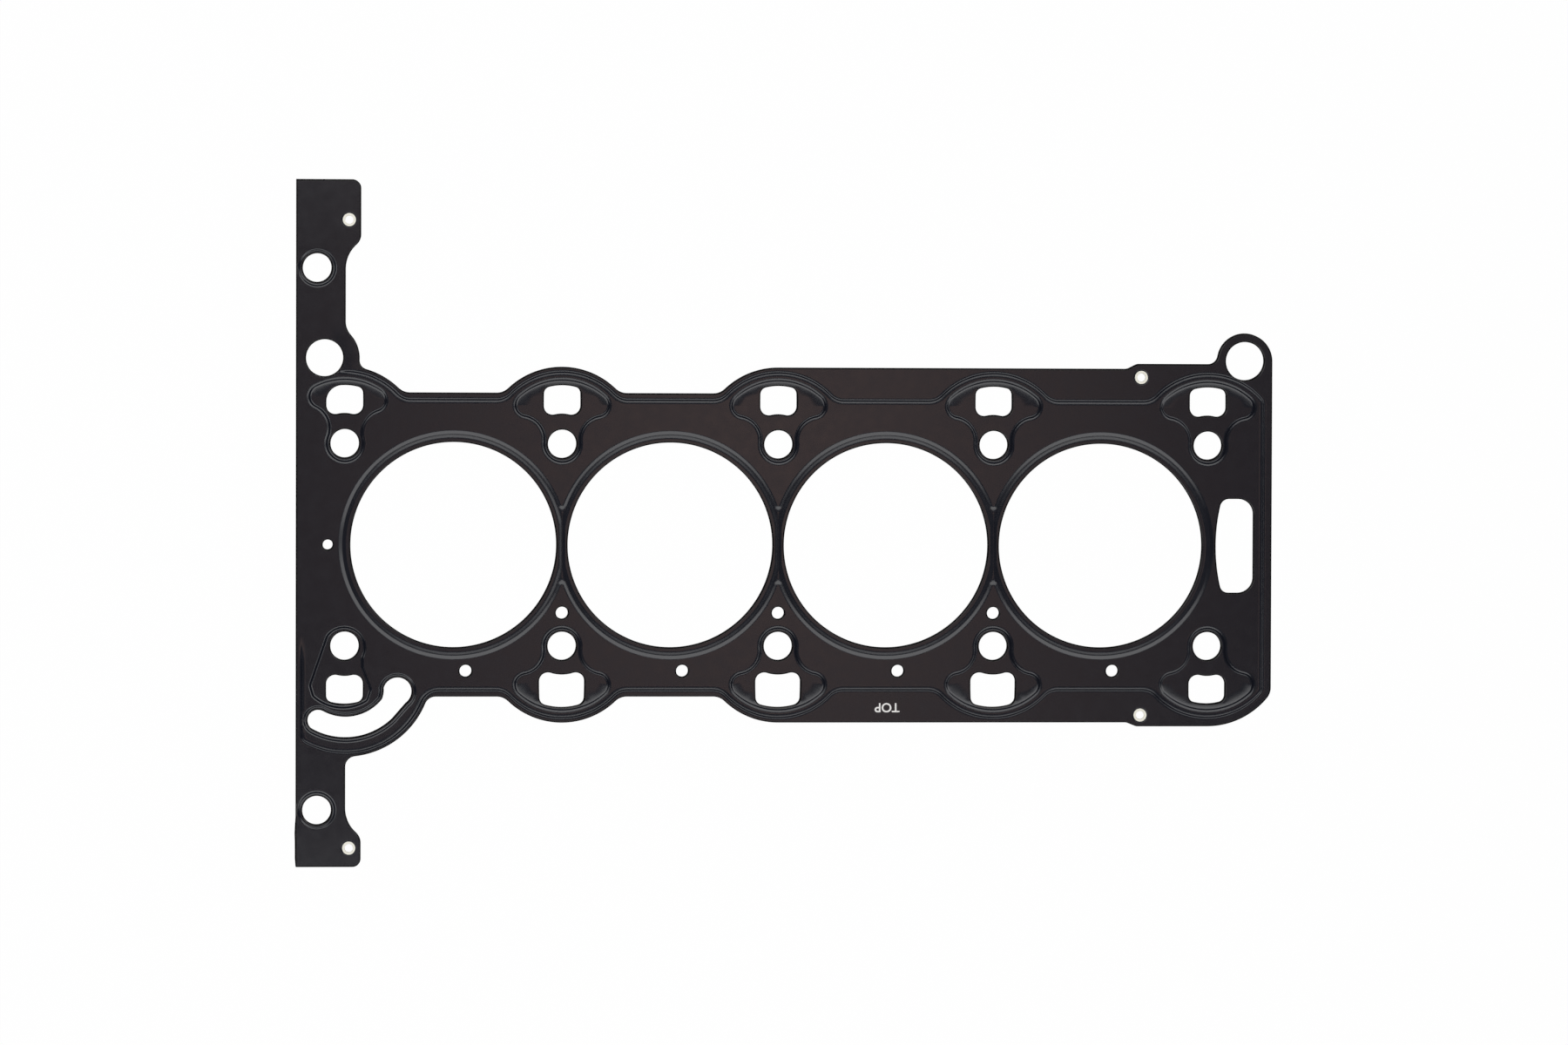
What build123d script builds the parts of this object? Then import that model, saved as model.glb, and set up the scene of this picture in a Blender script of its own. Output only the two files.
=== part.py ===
from build123d import *
import os
from math import sqrt

os.makedirs("parts", exist_ok=True)

# ---------------------------------------------------------------- dimensions
# Millimetres. X runs along the row of bores, Y across it, +Z is the upper face.
# The origin is the axis of the first bore at half the thickness.

# stack of sheets
carrier_thickness = 0.50
sheet_thickness = 0.25
bead_height = 0.20
flank_width = 1.10
flank_half = flank_width / 2
carrier_half = carrier_thickness / 2
field_top = carrier_half + sheet_thickness
crest_top = field_top + bead_height

# cylinder bores
bore_radius = 37.0
bore_pitch = 78.0
bore_count = 4
bead_inner_radius = 39.10
bead_outer_radius = 40.60
web_bead_half = 0.75

# head bolts
bolt_hole_radius = 5.15
bolt_row_y = 36.40
bolt_columns = 5

# raised zone round each port and its bolt
zone_outer_radius = 23.05
zone_wing_radius = 4.10
zone_neck_radius = 8.60
zone_bolt_radius = 6.45
zone_reach = 16.83
first_zone_left_reach = 12.67
first_zone_right_reach = 14.70

# coolant ports, measured outward from the bolt axis
port_inner_radius = 10.80
port_inner_corner_x = 6.45
port_side_x = 6.65
port_outer_corner_x = 6.55
port_outer_bow = 1.14
port_outer_rim = 1.91
port_outer_y = zone_outer_radius - port_outer_rim
port_length = port_outer_y - port_inner_radius
port_side_y = port_inner_radius + 0.387 * port_length
port_inner_fillet = 0.319 * port_length
port_outer_fillet = 0.2515 * port_length
end_port_outer_rim = 2.10
end_port_outer_y = zone_outer_radius - end_port_outer_rim
cut_port_fillet = 0.5714 * (end_port_outer_y - port_inner_radius)
wide_inner_y = 10.30
wide_inner_corner_x = 8.05
wide_inner_corner_y = 7.60
wide_side_x = 8.15
wide_outer_corner_x = 7.95
wide_outer_rim = 0.88
wide_outer_bow = 1.47
wide_outer_y = zone_outer_radius - wide_outer_rim
wide_outer_corner_y = wide_outer_y - wide_outer_bow
wide_length = wide_outer_y - wide_inner_y
wide_side_y = wide_inner_y + 0.438 * wide_length
wide_inner_fillet = 0.2696 * wide_length
wide_outer_fillet = 0.2527 * wide_length

# crescent slot
crescent_x = -38.70
crescent_y = -45.20
crescent_outer_radius = 24.25
crescent_inner_radius = 16.70
crescent_rim = 1.25
crescent_width = crescent_outer_radius - crescent_inner_radius
crescent_middle_radius = crescent_inner_radius + crescent_width / 2
crescent_left_outer_angle = 240.97
crescent_left_tip_angle = 230.89
crescent_left_inner_angle = 240.53
crescent_right_inner_angle = 321.84
crescent_right_bend_angle = 328.79
crescent_right_throat_angle = 335.32
crescent_right_tip_angle = 350.77
crescent_right_outer_angle = 331.34
crescent_right_shoulder_angle = 313.85
crescent_tip_bulge = 1.45
crescent_throat_bulge = 1.59
crescent_bend_bulge = 0.72
crescent_outer_bulge = 0.48

# raised zone of the first lower bolt, beside the crescent
crescent_zone_shoulder = (-45.30, -33.00)
crescent_zone_crown = (-38.00, -29.80)
crescent_zone_neck = (-32.65, -40.60)
crescent_zone_waist = (-32.65, -43.90)
crescent_zone_right = (-29.60, -52.00)
crescent_zone_right_foot = (-30.90, -56.00)
crescent_zone_bottom = (-40.00, -58.60)
crescent_zone_left_foot = (-50.30, -54.40)
crescent_zone_left = (-51.40, -50.60)
crescent_zone_fillet = 2.0

# outer edges and the land between them and the low field
left_edge_x = -56.40
right_edge_x = 296.42
top_edge_y = 131.05
bottom_edge_y = -116.00
left_land = 2.00
right_land = 3.22
flat_land = 2.45
lobe_land = 2.10
chain_land = 1.55

# low field inside the perimeter half bead
field_channel = 2.80
field_bolt_radius = zone_outer_radius + field_channel
field_flat_y = 52.20
field_left_x = left_edge_x + left_land
field_right_x = right_edge_x - right_land
crescent_channel = 5.20
field_crescent_radius = crescent_outer_radius + crescent_channel
field_fillet = 7.0
field_corner_radius = 3.0
bar_pool_radius = 6.45

# outer shape
side_flat_y = field_flat_y + flat_land
lobe_centre_y = 36.10
lobe_radius = field_bolt_radius + lobe_land
lobe_edge_y = lobe_centre_y + lobe_radius
lobe_fillet = 6.0
neck_x = -38.75
bar_corner_radius = 3.0
bar_heel_radius = 5.0
upper_bar_right_x = -33.25
upper_cove_y = 99.10
upper_cove_radius = 11.75
lower_bar_right_x = -33.20
lower_cove_y = -94.80
lower_cove_radius = 11.90
ear_x = -46.24
ear_rise = 3.02
ear_y = lobe_edge_y + ear_rise
ear_radius = 12.50
ear_hole_radius = 6.70
ear_neck_fillet = 7.3
ear_lobe_fillet = 3.5
ear_lobe_x = -32.80
ear_lobe_drop = 0.45
ear_lobe_y = lobe_edge_y - ear_lobe_drop
chain_lobe_x = -38.70
chain_lobe_y = -45.30
chain_lobe_radius = field_crescent_radius + chain_land
chain_neck_fillet = 3.9
chain_flat_fillet = 4.0
step_start_x = 243.60
step_end_x = 247.20
upper_step_rise = 1.82
lower_step_drop = 1.45
upper_step_y = lobe_edge_y + upper_step_rise
lower_step_y = -lobe_edge_y - lower_step_drop
step_fillet = 3.0
dowel_x = 286.45
dowel_rise = 1.22
dowel_y = upper_step_y + dowel_rise
dowel_lobe_radius = 9.97
dowel_hole_radius = 6.98
dowel_fillet = 3.5
corner_arc_x = 273.15
corner_arc_radius = 28.50
corner_arc_y = lower_step_y + corner_arc_radius
corner_fillet = 6.0

# plain holes
bar_hole_x = -48.93
upper_bar_hole_y = 99.40
lower_bar_hole_y = -95.57
bar_hole_radius = 5.20
feed_hole_x = -45.07
feed_hole_radius = 1.84
vent_offset_y = -24.45
vent_radius = 2.22
bleed_offset_x = 4.40
bleed_y = -45.40
bleed_radius = 2.20

# slot at the end away from the neck
end_slot_left_x = 276.05
end_slot_shoulder_x = 278.30
end_slot_right_x = 289.80
end_slot_half_y = 17.10
end_slot_left_fillet = 3.3
end_slot_right_fillet = 5.6

# eyelets that hold the sheets together
eyelet_upper_left_x = -37.50
eyelet_upper_left_y = 116.70
eyelet_lower_left_x = -37.45
eyelet_lower_left_y = -109.20
eyelet_right_x = 248.65
eyelet_upper_right_drop = 2.95
eyelet_lower_right_drop = 2.65
eyelet_upper_right_y = lobe_edge_y - eyelet_upper_right_drop
eyelet_lower_right_y = -lobe_edge_y + eyelet_lower_right_drop
eyelet_bore_radius = 1.50
eyelet_tube_radius = 1.85
eyelet_flange_radius = 2.36
eyelet_flange_thickness = 0.15
eyelet_clearance = 0.05
seat_radius = 2.85
seat_pad_radius = 3.10

upper_heel_y = upper_cove_y + sqrt(
    upper_cove_radius**2 - (neck_x + upper_cove_radius - upper_bar_right_x) ** 2
)
lower_heel_y = lower_cove_y - sqrt(
    lower_cove_radius**2 - (neck_x + lower_cove_radius - lower_bar_right_x) ** 2
)
ear_neck_y = sqrt(ear_radius**2 - (neck_x - ear_x) ** 2)
end_corner_y = corner_arc_y - sqrt(corner_arc_radius**2 - (right_edge_x - corner_arc_x) ** 2)
bolt_x = [bore_pitch * (column - 0.5) for column in range(bolt_columns)]
bore_x = [bore_pitch * index for index in range(bore_count)]
eyelet_places = [
    (eyelet_upper_left_x, eyelet_upper_left_y),
    (eyelet_lower_left_x, eyelet_lower_left_y),
    (eyelet_right_x, eyelet_upper_right_y),
    (eyelet_right_x, eyelet_lower_right_y),
]


# ---------------------------------------------------------------- helpers
def nearest_corner(sketch, x, y):
    """The corner of a sketch nearest to a point."""
    return sketch.vertices().sort_by_distance(Vector(x, y))[0]


def bar_box(x_low, x_high, y_low, y_high):
    """Centre and size of a rectangle given by its four sides."""
    centre = ((x_low + x_high) / 2, (y_low + y_high) / 2)
    return centre, x_high - x_low, y_high - y_low


def circle_height(radius, reach):
    """Height of a circle of a radius above its centre at a sideways reach."""
    return sqrt(radius**2 - reach**2)


# ---------------------------------------------------------------- outer shape
def body_outline():
    """The outer shape shared by all the sheets."""
    strip, strip_w, strip_h = bar_box(left_edge_x, neck_x, bottom_edge_y, top_edge_y)
    upper, upper_w, upper_h = bar_box(left_edge_x, upper_bar_right_x, upper_cove_y, top_edge_y)
    lower, lower_w, lower_h = bar_box(left_edge_x, lower_bar_right_x, bottom_edge_y, lower_cove_y)
    main, main_w, main_h = bar_box(left_edge_x, corner_arc_x, -side_flat_y, side_flat_y)
    wide, wide_w, wide_h = bar_box(bolt_x[2], corner_arc_x, -lobe_edge_y, lobe_edge_y)
    end, end_w, end_h = bar_box(corner_arc_x, right_edge_x, corner_arc_y, upper_step_y)
    post, post_w, post_h = bar_box(dowel_x, right_edge_x, corner_arc_y, dowel_y)
    trim = top_edge_y - bottom_edge_y
    with BuildSketch() as sk:
        with Locations(upper):
            Rectangle(upper_w, upper_h)
        with Locations((neck_x + upper_cove_radius, upper_cove_y)):
            Circle(upper_cove_radius, mode=Mode.SUBTRACT)
        with Locations(lower):
            Rectangle(lower_w, lower_h)
        with Locations((neck_x + lower_cove_radius, lower_cove_y)):
            Circle(lower_cove_radius, mode=Mode.SUBTRACT)
        with Locations(strip):
            Rectangle(strip_w, strip_h)
        with Locations(main):
            Rectangle(main_w, main_h)
        with Locations(wide):
            Rectangle(wide_w, wide_h)
        with BuildLine():
            Polyline(
                (step_start_x, lobe_edge_y),
                (step_end_x, upper_step_y),
                (corner_arc_x, upper_step_y),
                (corner_arc_x, lower_step_y),
                (step_end_x, lower_step_y),
                (step_start_x, -lobe_edge_y),
                close=True,
            )
        make_face()
        with Locations(end):
            Rectangle(end_w, end_h)
        with Locations(post):
            Rectangle(post_w, post_h)
        with Locations((ear_x, ear_y)):
            Circle(ear_radius)
        with Locations((dowel_x, dowel_y)):
            Circle(dowel_lobe_radius)
        with Locations((corner_arc_x, corner_arc_y)):
            Circle(corner_arc_radius)
        with Locations((chain_lobe_x, chain_lobe_y)):
            Circle(chain_lobe_radius)
        with Locations((bolt_x[0], lobe_centre_y)):
            Circle(lobe_radius)
        with Locations((bolt_x[1], lobe_centre_y), (bolt_x[1], -lobe_centre_y)):
            Circle(lobe_radius)
        with Locations((bolt_x[2], lobe_centre_y), (bolt_x[2], -lobe_centre_y)):
            Circle(lobe_radius)
        with Locations((left_edge_x - trim / 2, 0)):
            Rectangle(trim, 2 * trim, mode=Mode.SUBTRACT)
        with Locations((right_edge_x + trim / 2, 0)):
            Rectangle(trim, 2 * trim, mode=Mode.SUBTRACT)
        lobe_reach = circle_height(lobe_radius, side_flat_y - lobe_centre_y)
        for y in (side_flat_y, -side_flat_y):
            fillet(nearest_corner(sk, bolt_x[1] - lobe_reach, y), radius=lobe_fillet)
            fillet(nearest_corner(sk, bolt_x[1] + lobe_reach, y), radius=lobe_fillet)
            fillet(nearest_corner(sk, bolt_x[2] - lobe_reach, y), radius=lobe_fillet)
        fillet(nearest_corner(sk, bolt_x[0] + lobe_reach, side_flat_y), radius=lobe_fillet)
        chain_reach = circle_height(chain_lobe_radius, side_flat_y + chain_lobe_y)
        fillet(nearest_corner(sk, chain_lobe_x + chain_reach, -side_flat_y), radius=chain_flat_fillet)
        fillet(nearest_corner(sk, neck_x, chain_lobe_y - chain_lobe_radius), radius=chain_neck_fillet)
        fillet(nearest_corner(sk, neck_x, ear_y + ear_neck_y), radius=ear_neck_fillet)
        fillet(nearest_corner(sk, ear_lobe_x, ear_lobe_y), radius=ear_lobe_fillet)
        fillet(nearest_corner(sk, upper_bar_right_x, upper_heel_y), radius=bar_heel_radius)
        fillet(nearest_corner(sk, lower_bar_right_x, lower_heel_y), radius=bar_heel_radius)
        fillet(nearest_corner(sk, upper_bar_right_x, top_edge_y), radius=bar_corner_radius)
        fillet(nearest_corner(sk, lower_bar_right_x, bottom_edge_y), radius=bar_corner_radius)
        fillet(nearest_corner(sk, step_start_x, lobe_edge_y), radius=step_fillet)
        fillet(nearest_corner(sk, step_end_x, upper_step_y), radius=step_fillet)
        fillet(nearest_corner(sk, step_start_x, -lobe_edge_y), radius=step_fillet)
        fillet(nearest_corner(sk, step_end_x, lower_step_y), radius=step_fillet)
        fillet(nearest_corner(sk, dowel_x - dowel_lobe_radius, upper_step_y), radius=dowel_fillet)
        fillet(nearest_corner(sk, right_edge_x, end_corner_y), radius=corner_fillet)
    return sk.sketch


# ---------------------------------------------------------------- openings
def port_outline(place, side, outer_y, left_fillet):
    """A coolant port, drawn outward from its bolt on one side of the bore row."""
    with BuildSketch(mode=Mode.PRIVATE) as sk:
        corner_y = circle_height(port_inner_radius, port_inner_corner_x)
        shoulder_y = outer_y - port_outer_bow
        with BuildLine():
            ThreePointArc(
                (-port_inner_corner_x, corner_y),
                (0, port_inner_radius),
                (port_inner_corner_x, corner_y),
            )
            ThreePointArc(
                (port_inner_corner_x, corner_y),
                (port_side_x, port_side_y),
                (port_outer_corner_x, shoulder_y),
            )
            ThreePointArc(
                (port_outer_corner_x, shoulder_y),
                (0, outer_y),
                (-port_outer_corner_x, shoulder_y),
            )
            ThreePointArc(
                (-port_outer_corner_x, shoulder_y),
                (-port_side_x, port_side_y),
                (-port_inner_corner_x, corner_y),
            )
        make_face()
        fillet(nearest_corner(sk, -port_inner_corner_x, corner_y), radius=port_inner_fillet)
        fillet(nearest_corner(sk, port_inner_corner_x, corner_y), radius=port_inner_fillet)
        fillet(nearest_corner(sk, -port_outer_corner_x, shoulder_y), radius=left_fillet)
        fillet(nearest_corner(sk, port_outer_corner_x, shoulder_y), radius=port_outer_fillet)
    shape = sk.sketch if side > 0 else sk.sketch.mirror(Plane.XZ)
    return shape.moved(Location((place, side * bolt_row_y, 0)))


def wide_port_outline(place):
    """One of the three wide coolant ports below the middle bolts."""
    with BuildSketch(mode=Mode.PRIVATE) as sk:
        with BuildLine():
            ThreePointArc(
                (-wide_inner_corner_x, wide_inner_corner_y),
                (0, wide_inner_y),
                (wide_inner_corner_x, wide_inner_corner_y),
            )
            ThreePointArc(
                (wide_inner_corner_x, wide_inner_corner_y),
                (wide_side_x, wide_side_y),
                (wide_outer_corner_x, wide_outer_corner_y),
            )
            ThreePointArc(
                (wide_outer_corner_x, wide_outer_corner_y),
                (0, wide_outer_y),
                (-wide_outer_corner_x, wide_outer_corner_y),
            )
            ThreePointArc(
                (-wide_outer_corner_x, wide_outer_corner_y),
                (-wide_side_x, wide_side_y),
                (-wide_inner_corner_x, wide_inner_corner_y),
            )
        make_face()
        for x in (-wide_inner_corner_x, wide_inner_corner_x):
            fillet(nearest_corner(sk, x, wide_inner_corner_y), radius=wide_inner_fillet)
        for x in (-wide_outer_corner_x, wide_outer_corner_x):
            fillet(nearest_corner(sk, x, wide_outer_corner_y), radius=wide_outer_fillet)
    return sk.sketch.mirror(Plane.XZ).moved(Location((place, -bolt_row_y, 0)))


def crescent_point(radius, angle):
    """A point of the crescent slot, by its distance from the centre and its bearing."""
    return Vector(crescent_x, crescent_y) + Vector(radius, 0).rotate(Axis.Z, angle)


def crescent_outline():
    """The crescent slot, widest at its end beside the first bore."""
    left_outer = crescent_point(crescent_outer_radius, crescent_left_outer_angle)
    left_tip = crescent_point(crescent_middle_radius, crescent_left_tip_angle)
    left_inner = crescent_point(crescent_inner_radius, crescent_left_inner_angle)
    lowest = crescent_point(crescent_outer_radius, 270)
    innermost = crescent_point(crescent_inner_radius, 270)
    shoulder = crescent_point(crescent_outer_radius, crescent_right_shoulder_angle)
    right_outer = crescent_point(
        crescent_outer_radius + crescent_outer_bulge,
        crescent_right_outer_angle,
    )
    right_tip = crescent_point(
        crescent_middle_radius + crescent_tip_bulge,
        crescent_right_tip_angle,
    )
    right_throat = crescent_point(
        crescent_inner_radius - crescent_throat_bulge,
        crescent_right_throat_angle,
    )
    right_bend = crescent_point(
        crescent_inner_radius - crescent_bend_bulge,
        crescent_right_bend_angle,
    )
    right_inner = crescent_point(crescent_inner_radius, crescent_right_inner_angle)
    with BuildSketch(mode=Mode.PRIVATE) as sk:
        with BuildLine():
            ThreePointArc(left_outer, lowest, shoulder)
            Line(shoulder, right_outer)
            ThreePointArc(right_outer, right_tip, right_throat)
            ThreePointArc(right_throat, right_bend, right_inner)
            ThreePointArc(right_inner, innermost, left_inner)
            ThreePointArc(left_inner, left_tip, left_outer)
        make_face()
    return sk.sketch


def end_slot_outline():
    """The slot beside the last bore, with a bowed side that follows the bore."""
    with BuildSketch(mode=Mode.PRIVATE) as sk:
        with BuildLine():
            ThreePointArc(
                (end_slot_shoulder_x, -end_slot_half_y),
                (end_slot_left_x, 0),
                (end_slot_shoulder_x, end_slot_half_y),
            )
            Polyline(
                (end_slot_shoulder_x, end_slot_half_y),
                (end_slot_right_x, end_slot_half_y),
                (end_slot_right_x, -end_slot_half_y),
                (end_slot_shoulder_x, -end_slot_half_y),
            )
        make_face()
        for y in (-end_slot_half_y, end_slot_half_y):
            fillet(nearest_corner(sk, end_slot_shoulder_x, y), radius=end_slot_left_fillet)
            fillet(nearest_corner(sk, end_slot_right_x, y), radius=end_slot_right_fillet)
    return sk.sketch


def sheet_openings():
    """Every opening that runs through the sheets, apart from the eyelet holes."""
    ports = [
        port_outline(bolt_x[0], 1, end_port_outer_y, cut_port_fillet),
        port_outline(bolt_x[1], 1, port_outer_y, port_outer_fillet),
        port_outline(bolt_x[2], 1, port_outer_y, port_outer_fillet),
        port_outline(bolt_x[3], 1, port_outer_y, port_outer_fillet),
        port_outline(bolt_x[4], 1, port_outer_y, port_outer_fillet),
        port_outline(bolt_x[0], -1, end_port_outer_y, port_outer_fillet),
        port_outline(bolt_x[4], -1, end_port_outer_y, port_outer_fillet),
        wide_port_outline(bolt_x[1]),
        wide_port_outline(bolt_x[2]),
        wide_port_outline(bolt_x[3]),
    ]
    crescent = crescent_outline()
    end_slot = end_slot_outline()
    with BuildSketch() as sk:
        with Locations(*[(x, 0) for x in bore_x]):
            Circle(bore_radius)
        with Locations(*[(x, bolt_row_y) for x in bolt_x]):
            Circle(bolt_hole_radius)
        with Locations(*[(x, -bolt_row_y) for x in bolt_x]):
            Circle(bolt_hole_radius)
        with Locations((ear_x, ear_y)):
            Circle(ear_hole_radius)
        with Locations((dowel_x, dowel_y)):
            Circle(dowel_hole_radius)
        with Locations((bar_hole_x, upper_bar_hole_y), (bar_hole_x, lower_bar_hole_y)):
            Circle(bar_hole_radius)
        with Locations((feed_hole_x, 0)):
            Circle(feed_hole_radius)
        with Locations(*[(x, vent_offset_y) for x in bolt_x[1:4]]):
            Circle(vent_radius)
        with Locations(*[(x + bleed_offset_x, bleed_y) for x in bore_x]):
            Circle(bleed_radius)
        add(ports)
        add(crescent)
        add(end_slot)
    return sk.sketch


# ---------------------------------------------------------------- half beads
# Each outline below is drawn at mid height of its flank. "grow" moves it outward.
def tangent_centre(first, first_distance, second, second_distance):
    """The centre on the near side that keeps a distance from each of two points."""
    span = Vector(*second) - Vector(*first)
    along = (first_distance**2 - second_distance**2 + span.length**2) / (2 * span.length)
    across = sqrt(first_distance**2 - along**2)
    unit = span.normalized()
    return Vector(*first) + unit * along + Vector(unit.Y, -unit.X) * across


def zone_outline(grow, left_reach, right_reach):
    """The raised zone round a port and its bolt, drawn outward from the bolt."""
    outer = zone_outer_radius + grow
    wing = zone_wing_radius + grow
    neck = zone_neck_radius - grow
    ring = zone_bolt_radius + grow
    bolt = Vector(0, 0)
    points = []
    for reach in (right_reach, left_reach):
        wing_x = reach - zone_wing_radius
        wing_y = circle_height(zone_outer_radius - zone_wing_radius, wing_x)
        wing_centre = Vector(wing_x, wing_y)
        neck_centre = tangent_centre(
            (0, 0), zone_bolt_radius + zone_neck_radius,
            (wing_x, wing_y), zone_wing_radius + zone_neck_radius,
        )
        to_wing = (wing_centre - neck_centre).normalized()
        to_bolt = (bolt - neck_centre).normalized()
        points.append([
            wing_centre.normalized() * outer,
            wing_centre + Vector(wing, 0),
            neck_centre + to_wing * neck,
            neck_centre + (to_wing + to_bolt).normalized() * neck,
            neck_centre + to_bolt * neck,
        ])
    right = points[0]
    left = [Vector(-point.X, point.Y) for point in points[1]]
    with BuildSketch(mode=Mode.PRIVATE) as sk:
        with BuildLine():
            ThreePointArc(left[0], (0, outer), right[0])
            ThreePointArc(right[0], right[1], right[2])
            ThreePointArc(right[2], right[3], right[4])
            ThreePointArc(right[4], (0, -ring), left[4])
            ThreePointArc(left[4], left[3], left[2])
            ThreePointArc(left[2], left[1], left[0])
        make_face()
    return sk.sketch


def upper_zone(grow, place, left_reach, right_reach):
    """A raised zone above the bore row."""
    return zone_outline(grow, left_reach, right_reach).moved(Location((place, bolt_row_y, 0)))


def lower_zone(grow, place):
    """A raised zone below the bore row."""
    zone = zone_outline(grow, zone_reach, zone_reach).mirror(Plane.XZ)
    return zone.moved(Location((place, -bolt_row_y, 0)))


def crescent_zone(grow):
    """The raised zone of the first lower bolt, cut short by the crescent slot."""
    with BuildSketch(mode=Mode.PRIVATE) as sk:
        with BuildLine():
            ThreePointArc(crescent_zone_shoulder, crescent_zone_crown, crescent_zone_neck)
            Polyline(
                crescent_zone_neck,
                crescent_zone_waist,
                crescent_zone_right,
                crescent_zone_right_foot,
            )
            ThreePointArc(
                crescent_zone_right_foot,
                crescent_zone_bottom,
                crescent_zone_left_foot,
            )
            Polyline(crescent_zone_left_foot, crescent_zone_left, crescent_zone_shoulder)
        make_face()
        fillet(sk.vertices(), radius=crescent_zone_fillet)
        offset(amount=grow)
    return sk.sketch


def crescent_rim_outline(grow):
    """The raised rim that follows the crescent slot."""
    slot = crescent_outline()
    with BuildSketch(mode=Mode.PRIVATE) as sk:
        add(slot)
        offset(amount=crescent_rim + grow)
    return sk.sketch


def bar_pool(grow, y):
    """The low rim round a hole of the end bars."""
    with BuildSketch(mode=Mode.PRIVATE) as sk:
        with Locations((bar_hole_x, y)):
            Circle(bar_pool_radius + grow)
    return sk.sketch


def bead_outline(grow):
    """The outer foot of the joined full beads round the bores."""
    with BuildSketch(mode=Mode.PRIVATE) as sk:
        with Locations(*[(x, 0) for x in bore_x]):
            Circle(bead_outer_radius + grow)
    return sk.sketch


def bore_pool(grow, index):
    """The low land between one bore and its bead, straight along each web."""
    radius = bead_inner_radius + grow
    web = bore_pitch / 2 - web_bead_half + grow
    left = web if index > 0 else radius
    right = web if index < bore_count - 1 else radius
    land, land_w, land_h = bar_box(bore_x[index] - left, bore_x[index] + right, -radius, radius)
    with BuildSketch(mode=Mode.PRIVATE) as sk:
        with Locations((bore_x[index], 0)):
            Circle(radius)
        with Locations(land):
            Rectangle(land_w, land_h, mode=Mode.INTERSECT)
    return sk.sketch


def field_outline(grow):
    """The low field inside the perimeter half bead."""
    field, field_w, field_h = bar_box(field_left_x, field_right_x, -field_flat_y, field_flat_y)
    reach = circle_height(field_bolt_radius, field_flat_y - bolt_row_y)
    crescent_reach = circle_height(field_crescent_radius, field_flat_y + crescent_y)
    corner_y = bolt_row_y + circle_height(field_bolt_radius, field_right_x - bolt_x[4])
    upper_left_y = bolt_row_y + circle_height(field_bolt_radius, field_left_x - bolt_x[0])
    lower_left_y = crescent_y - circle_height(field_crescent_radius, field_left_x - crescent_x)
    trim = top_edge_y - bottom_edge_y
    with BuildSketch(mode=Mode.PRIVATE) as sk:
        with Locations(field):
            Rectangle(field_w, field_h)
        with Locations(*[(x, bolt_row_y) for x in bolt_x]):
            Circle(field_bolt_radius)
        with Locations(*[(x, -bolt_row_y) for x in bolt_x[1:]]):
            Circle(field_bolt_radius)
        with Locations((crescent_x, crescent_y)):
            Circle(field_crescent_radius)
        with Locations((field_left_x - trim / 2, 0)):
            Rectangle(trim, 2 * trim, mode=Mode.SUBTRACT)
        with Locations((field_right_x + trim / 2, 0)):
            Rectangle(trim, 2 * trim, mode=Mode.SUBTRACT)
        for x in bolt_x[:4]:
            fillet(nearest_corner(sk, x + reach, field_flat_y), radius=field_fillet)
        for x in bolt_x[1:]:
            fillet(nearest_corner(sk, x - reach, field_flat_y), radius=field_fillet)
        for x in bolt_x[1:4]:
            fillet(nearest_corner(sk, x + reach, -field_flat_y), radius=field_fillet)
        for x in bolt_x[1:]:
            fillet(nearest_corner(sk, x - reach, -field_flat_y), radius=field_fillet)
        fillet(nearest_corner(sk, crescent_x + crescent_reach, -field_flat_y), radius=field_fillet)
        fillet(nearest_corner(sk, field_right_x, corner_y), radius=field_corner_radius)
        fillet(nearest_corner(sk, field_right_x, -corner_y), radius=field_corner_radius)
        fillet(nearest_corner(sk, field_left_x, upper_left_y), radius=field_corner_radius)
        fillet(nearest_corner(sk, field_left_x, lower_left_y), radius=field_corner_radius)
        offset(amount=grow)
    return sk.sketch


def island(outline, *sizes):
    """A raised form that narrows upward by one flank."""
    foot = outline(flank_half, *sizes)
    crest = outline(-flank_half, *sizes)
    with BuildPart() as form:
        with BuildSketch(Plane.XY):
            add(foot)
        with BuildSketch(Plane.XY.offset(bead_height)):
            add(crest)
        loft(ruled=True)
    return form.part


def pool(outline, *sizes):
    """A low form that widens upward by one flank."""
    floor = outline(-flank_half, *sizes)
    brim = outline(flank_half, *sizes)
    with BuildPart() as form:
        with BuildSketch(Plane.XY):
            add(floor)
        with BuildSketch(Plane.XY.offset(bead_height)):
            add(brim)
        loft(ruled=True)
    return form.part


# ---------------------------------------------------------------- pressed sheets
field_form = pool(field_outline)
bead_form = island(bead_outline)
bore_forms = [pool(bore_pool, index) for index in range(bore_count)]
rim_form = island(crescent_rim_outline)
bar_forms = [pool(bar_pool, upper_bar_hole_y), pool(bar_pool, lower_bar_hole_y)]
zone_forms = [island(upper_zone, bolt_x[0], first_zone_left_reach, first_zone_right_reach)]
zone_forms += [island(upper_zone, x, zone_reach, zone_reach) for x in bolt_x[1:]]
zone_forms += [island(lower_zone, x) for x in bolt_x[1:]]
zone_forms += [island(crescent_zone)]

# The low ground of the pressing. The same form shapes the upper and under face.
with BuildPart() as ground:
    add(field_form)
    add(bead_form, mode=Mode.SUBTRACT)
    add(bore_forms)
    add(rim_form, mode=Mode.SUBTRACT)
    add(zone_forms, mode=Mode.SUBTRACT)
    add(bar_forms)

outline = body_outline()
openings = sheet_openings()
face_ground = ground.part.moved(Location((0, 0, field_top)))
under_ground = ground.part.moved(Location((0, 0, carrier_half)))

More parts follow.
